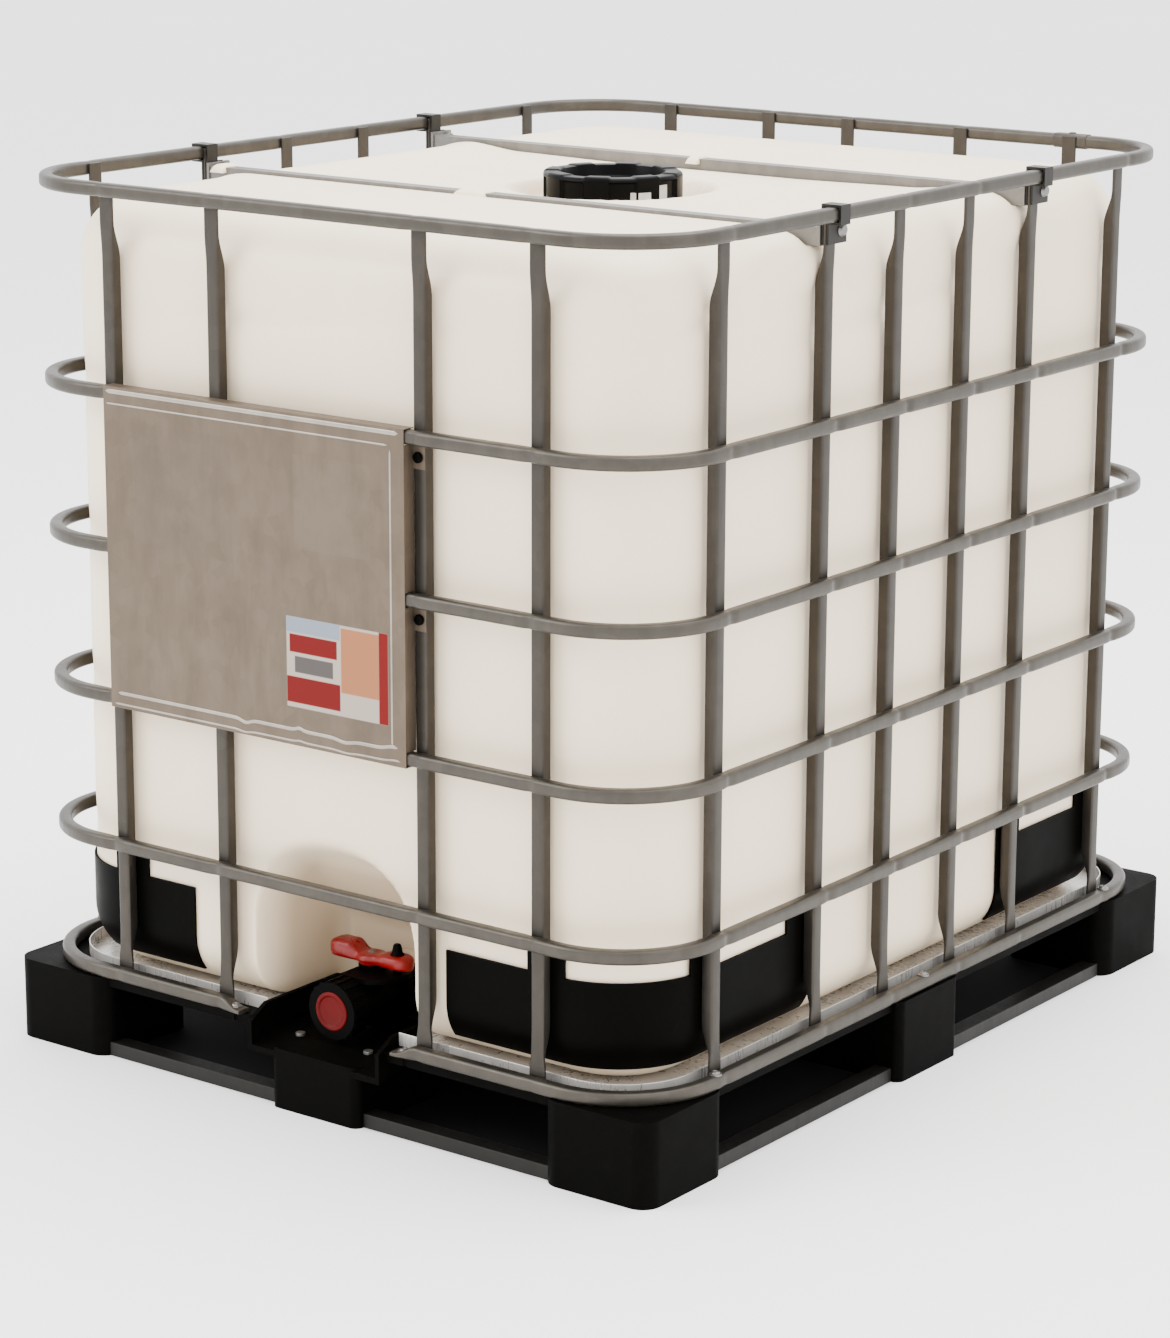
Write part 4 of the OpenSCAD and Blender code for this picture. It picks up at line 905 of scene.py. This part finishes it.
class IBC_OT_lid(bpy.types.Operator):
    """Build the filling lid with its grip pockets, ribs and blank labels"""
    bl_idname = "ibc.lid"
    bl_label = "Filling lid"

    def execute(self, context):
        p = context.scene.ibc.lid
        make("lid_cap", [lid_shape(p)], "lid_black", "fill_lid", replaces=["fill_lid"], angle=35)
        z1 = span("fill_lid")[1][2]
        # ribs across the sunken middle
        parts = []
        for turn in (0, 60, 120):
            a = math.radians(turn + 12)
            sec = rounded(0.0016, 0.0040, 0.0012, 3)
            run = np.linspace(-0.060, 0.060, 9)
            rows = [np.column_stack([np.full(len(sec), s), sec[:, 0], z1 - 0.0185 + sec[:, 1]]) for s in run]
            m = np.array([[math.cos(a), math.sin(a), 0], [-math.sin(a), math.cos(a), 0], [0, 0, 1]])
            parts.append(grid(capped(np.array(rows) @ m)))
        make("lid_ribs", parts, "lid_black", "fill_lid")
        labels = []
        for mid, wide, high, down in ((-0.52, 0.027, 0.015, 0.027), (-0.10, 0.017, 0.017, 0.021)):
            a = np.linspace(mid - wide / 0.18, mid + wide / 0.18, 9)
            z = np.linspace(z1 - down - high / 2, z1 - down + high / 2, 3)
            k = np.cos(p.pockets * a)
            r = 0.0885 - p.pocket_depth * smooth((k + 0.15) / 0.3)
            sheet = [np.stack([np.outer(np.ones(3), (r + o) * np.cos(a)), np.outer(np.ones(3), (r + o) * np.sin(a)),
                               np.outer(z, np.ones(9))], -1) for o in (0.0001, 0.0005)]
            labels += slab(*sheet)
        make("lid_labels", labels, "blank_label", "fill_lid")
        return {"FINISHED"}


# ---------- outlet valve ----------

def lever_rows(p):
    """Two-winged handle: an oval section carried along X, its half width and its height given
    by smooth steps, wide and tall at the left wing, waisted at the hub, flat at the right wing."""
    lo, hi = span("lever")
    x = np.concatenate([lo[0] + 0.017 * (1 - np.cos(np.linspace(0, math.pi / 2, 9))),
                        np.linspace(lo[0] + 0.019, hi[0] - 0.019, 30),
                        hi[0] - 0.017 * (1 - np.cos(np.linspace(math.pi / 2, 0, 9)))])
    mid = (lo[0] + hi[0]) / 2
    t = (x - mid) / ((hi[0] - lo[0]) / 2)
    cap = np.sqrt(np.clip(1 - np.clip((np.abs(t) - 0.72) / 0.28, 0, 1) ** 2, 0.0004, 1))
    half = (0.0165 - 0.0030 * hill(np.abs(t) - 0.24, 0.12) + 0.0020 * hill(t, 0.20)) * cap
    tall = np.where(t < 0, p.left_wing, p.right_wing)
    z0 = lo[2] + 0.001
    height = (0.013 + (tall - 0.013) * smooth((np.abs(t) - 0.16) / 0.30)) * (0.55 + 0.45 * cap)
    a = np.linspace(0, 2 * math.pi, 28, endpoint=False)
    c, s = np.cos(a), np.sin(a)
    sec_y, sec_z = np.sign(c) * np.abs(c) ** 0.5, np.sign(s) * np.abs(s) ** 0.6
    y = STEM_Y + half[:, None] * sec_y[None, :]
    z = z0 + height[:, None] * (0.5 + 0.5 * sec_z[None, :])
    return np.stack([np.broadcast_to(x[:, None], y.shape), y, z], -1)


class IBC_OT_valve(bpy.types.Operator):
    """Build the outlet valve: handle, pin, cap, nut and body"""
    bl_idname = "ibc.valve"
    bl_label = "Outlet valve"

    def execute(self, context):
        p = context.scene.ibc.valve
        lo = span("lever")[0]
        hub = turned(soft_profile([(0, lo[2]), (0.0165, lo[2]), (0.0165, lo[2] + 0.010), (0.012, lo[2] + 0.0135),
                                   (0.0, lo[2] + 0.0135)], 0.0015), (0, STEM_Y, 0), n=48)
        make("valve_handle_wings", [grid(capped(lever_rows(p))), hub], "handle_red", "lever", replaces=["lever"])
        plo, phi = span("lock_pin")
        cx, cy, top = (plo[0] + phi[0]) / 2, (plo[1] + phi[1]) / 2, phi[2]
        prof = [(0, plo[2]), (0.005, plo[2]), (0.005, top - 0.019), (0.0090, top - 0.0175), (0.0090, top - 0.0135),
                (0.0068, top - 0.011), (0.0050, top - 0.002), (0.0035, top), (0, top)]
        make("valve_lock_pin", [turned(soft_profile(prof, 0.0008), (cx, cy, 0), n=40)], "valve_black", "lock_pin",
             replaces=["lock_pin"])
        y0 = span("cap_insert")[0][1]
        y1 = span("cap_insert")[1][1]
        r = p.disc / 2
        prof = [(0, y1), (r, y1), (r, y0 + 0.0010), (r - 0.0015, y0), (r - 0.0045, y0 + 0.0002),
                (r - 0.0062, y0 + 0.0022), (r * 0.45, y0 + 0.0030), (0, y0 + 0.0032)]
        make("cap_disc", [turned(soft_profile(prof, 0.0006), (0, 0, AXIS_Z), "y", 72)], "disc_red_painted_shade", "cap_insert",
             replaces=["cap_insert"])
        softened("outlet_cap", "valve_black", 0.0009)
        softened("union_nut", "valve_black", 0.0009)
        softened("valve_body", "valve_black", 0.0010)
        softened("lever_screw", "screw_zinc", 0.0005)
        return {"FINISHED"}


# ---------- stage ----------

FRAME_LONG = 1338                                             # longer side of the picture
CAMERA_AT = (2.9036, -3.9185, 1.6759)
CAMERA_TURN = (36.839, 14.136, 0.202)                         # yaw, pitch down and roll, in degrees
CAMERA_SHIFT = (-6.0 / FRAME_LONG, -5.3 / FRAME_LONG)
FLOOR_HALF = 60


def aim(ob, target):
    ob.rotation_euler = (Vector(target) - ob.location).to_track_quat("-Z", "Y").to_euler()


class IBC_OT_stage(bpy.types.Operator):
    """Set up the floor with a painted shadow under the pallet, the soft lights and the camera"""
    bl_idname = "ibc.stage"
    bl_label = "Stage"

    def execute(self, context):
        p = context.scene.ibc.stage
        m = Mixer("floor_pale_painted_shadow", Roughness=0.85, Specular_IOR_Level=0.10)
        pale = m.blend(m.remap(m.noise(0.6), 0.0, 1.0), (0.94, 0.94, 0.94), (0.96, 0.96, 0.96))
        # painted shadow: a soft near-black patch on the floor under the pallet, which shows through the openings
        # between the feet
        under = m.maths("MULTIPLY", m.band("X", -0.475, 0.475, 0.02), m.band("Y", -0.575, 0.575, 0.02))
        m.colour(m.blend(under, pale, (0.006, 0.006, 0.006)))
        me = bpy.data.meshes.new("floor")
        corners = [(x * FLOOR_HALF, y * FLOOR_HALF, 0) for x, y in ((-1, -1), (1, -1), (1, 1), (-1, 1))]
        me.from_pydata(corners, [], [(0, 1, 2, 3)])
        me.materials.append(FINISH["floor_pale_painted_shadow"])
        floor = bpy.data.objects.new("floor", me)
        context.scene.collection.objects.link(floor)
        world = bpy.data.worlds.new("studio")
        world.use_nodes = True
        back = world.node_tree.nodes["Background"]
        back.inputs["Color"].default_value = (1.0, 1.0, 1.0, 1.0)
        back.inputs["Strength"].default_value = p.world
        context.scene.world = world
        for name, at, size, watts in (("key", (-2.6, -3.6, 3.6), 2.4, p.key), ("side", (4.2, -0.6, 2.4), 2.4, p.side),
                                      ("top", (0.4, 0.6, 4.4), 3.0, p.top)):
            light = bpy.data.lights.new(name, "AREA")
            light.energy, light.size = watts, size
            ob = bpy.data.objects.new(name, light)
            context.scene.collection.objects.link(ob)
            ob.location = at
            aim(ob, (0, 0, 0.55))
        cam = bpy.data.cameras.new("camera")
        cam.sensor_fit, cam.sensor_width, cam.lens = "AUTO", 36.0, p.lens
        cam.clip_end = 200
        cam.shift_x, cam.shift_y = CAMERA_SHIFT
        ob = bpy.data.objects.new("camera", cam)
        context.scene.collection.objects.link(ob)
        yaw, pitch, roll = (math.radians(v) for v in CAMERA_TURN)
        ahead = Vector((-math.sin(yaw) * math.cos(pitch), math.cos(yaw) * math.cos(pitch), -math.sin(pitch)))
        right = ahead.cross(Vector((0, 0, 1))).normalized()
        up = right.cross(ahead)
        r2 = right * math.cos(roll) + up * math.sin(roll)
        u2 = up * math.cos(roll) - right * math.sin(roll)
        turn = Matrix((r2, u2, -ahead)).transposed().to_4x4()
        ob.matrix_world = Matrix.Translation(CAMERA_AT) @ turn
        context.scene.camera = ob
        return {"FINISHED"}


# ---------- settings and panel ----------

def length(name, text, default, lo, hi):
    return FloatProperty(name=name, description=text, default=default, min=lo, max=hi, unit="LENGTH", precision=4)


def tint(name, text, default):
    return FloatVectorProperty(name=name, description=text, default=default, size=3, min=0, max=1, subtype="COLOR")


class TankSettings(bpy.types.PropertyGroup):
    colour: tint("Tank colour", "Colour of the blown plastic", (0.84, 0.705, 0.525))
    shoulder: length("Shoulder radius", "Radius of the tank's top edges", 0.075, 0.05, 0.09)
    bulge: length("Cushioning", "How far the wall gives at the tubes", 0.0022, 0.0, 0.006)


class CageSettings(bpy.types.PropertyGroup):
    hoop_colour: tint("Hoop colour", "Colour of the hoops' zinc", (0.054, 0.048, 0.040))
    upright_colour: tint("Upright colour", "Colour of the uprights' zinc", (0.038, 0.033, 0.027))
    dent: length("Weld dent", "Depth of the dent at each weld", 0.0024, 0.0, 0.004)
    upright_width: length("Upright width", "Width of the uprights", 0.018, 0.012, 0.022)
    upright_depth: length("Upright depth", "Depth of the uprights", 0.016, 0.010, 0.016)


class PlateSettings(bpy.types.PropertyGroup):
    colour: tint("Plate colour", "Colour of the plate's zinc", (0.104, 0.080, 0.059))


class PalletSettings(bpy.types.PropertyGroup):
    pan_colour: tint("Pan colour", "Colour of the floor pan's zinc", (0.58, 0.555, 0.52))
    rim: length("Pan rim", "Height of the pan's rim above the feet", 0.0165, 0.008, 0.031)
    foot_edge: length("Foot edge", "Rounding of the feet's edges", 0.003, 0.0005, 0.006)


class LidSettings(bpy.types.PropertyGroup):
    pockets: IntProperty(name="Grip pockets", description="Number of pockets round the lid", default=8, min=4, max=12)
    pocket_depth: length("Pocket depth", "Depth of the grip pockets", 0.0045, 0.0, 0.008)


class ValveSettings(bpy.types.PropertyGroup):
    red: tint("Handle colour", "Colour of the handle and the cap's disc", (0.17, 0.0006, 0.0009))
    left_wing: length("Left wing", "Height of the handle's left wing", 0.0235, 0.010, 0.026)
    right_wing: length("Right wing", "Height of the handle's right wing", 0.0170, 0.008, 0.0205)
    disc: length("Cap disc", "Diameter of the red disc in the cap", 0.049, 0.03, 0.049)


class StageSettings(bpy.types.PropertyGroup):
    world: FloatProperty(name="Sky", description="Strength of the even light all round", default=2.9, min=0, max=6)
    key: FloatProperty(name="Key", description="Power of the key light", default=190, min=0, unit="POWER")
    side: FloatProperty(name="Side", description="Power of the side light", default=35, min=0, unit="POWER")
    top: FloatProperty(name="Top", description="Power of the top light", default=260, min=0, unit="POWER")
    lens: FloatProperty(name="Lens", description="Focal length", default=3859.0 * 36 / FRAME_LONG, min=10,
                        unit="CAMERA")


GROUPS = {"tank": TankSettings, "cage": CageSettings, "plate": PlateSettings, "pallet": PalletSettings,
          "lid": LidSettings, "valve": ValveSettings, "stage": StageSettings}


class ContainerSettings(bpy.types.PropertyGroup):
    tank: PointerProperty(type=TankSettings)
    cage: PointerProperty(type=CageSettings)
    plate: PointerProperty(type=PlateSettings)
    pallet: PointerProperty(type=PalletSettings)
    lid: PointerProperty(type=LidSettings)
    valve: PointerProperty(type=ValveSettings)
    stage: PointerProperty(type=StageSettings)


class IBC_OT_finishes(bpy.types.Operator):
    """Make the finishes and put them on the parts of the frame"""
    bl_idname = "ibc.finishes"
    bl_label = "Finishes"

    def execute(self, context):
        make_finishes(context.scene.ibc)
        by_slot = {"foot_plastic": "foot_black", "pan_steel": "pan_zinc_and_painted_highlight", "runner_steel": "runner_zinc_painted_shade",
                   "fastener_steel": "screw_zinc", "cage_hoop_steel": "cage_hoop",
                   "cage_upright_steel": "cage_upright",
                   "crossbar_steel": "bar_steel", "plate_steel": "plate_zinc", "guard_plastic": "guard_black",
                   "tank_plastic": "tank_milk", "seal_rubber": "seal_rubber", "lid_plastic": "lid_black",
                   "red_plastic": "handle_red", "valve_plastic": "valve_black"}
        for name, ob in frame["nodes"].items():
            finish = FINISH[by_slot[SLOT_OF[name]]]
            if ob.material_slots:
                for s in ob.material_slots:
                    s.material = finish
            else:
                ob.data.materials.append(finish)
        return {"FINISHED"}


OPERATORS = (IBC_OT_finishes, IBC_OT_tank, IBC_OT_hoops, IBC_OT_uprights, IBC_OT_bars, IBC_OT_plate, IBC_OT_pallet,
             IBC_OT_guards, IBC_OT_lid, IBC_OT_valve, IBC_OT_stage)


class IBC_PT_panel(bpy.types.Panel):
    """Sizes, colours and pieces of the container"""
    bl_idname = "IBC_PT_panel"
    bl_label = "Bulk container"
    bl_space_type = "VIEW_3D"
    bl_region_type = "UI"
    bl_category = "Container"

    def draw(self, context):
        settings = context.scene.ibc
        for key, group in GROUPS.items():
            box = self.layout.box()
            box.label(text=key.capitalize())
            for field in group.__annotations__:
                box.prop(getattr(settings, key), field)
        for op in OPERATORS:
            self.layout.operator(op.bl_idname)


CLASSES = (*GROUPS.values(), ContainerSettings, *OPERATORS, IBC_PT_panel)


def register():
    for c in CLASSES:
        bpy.utils.register_class(c)
    bpy.types.Scene.ibc = PointerProperty(type=ContainerSettings)


def unregister():
    del bpy.types.Scene.ibc
    for c in reversed(CLASSES):
        bpy.utils.unregister_class(c)


def main():
    """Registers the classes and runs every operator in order."""
    register()
    for op in OPERATORS:
        area, name = op.bl_idname.split(".")
        getattr(getattr(bpy.ops, area), name)()


if __name__ == "__main__":
    main()
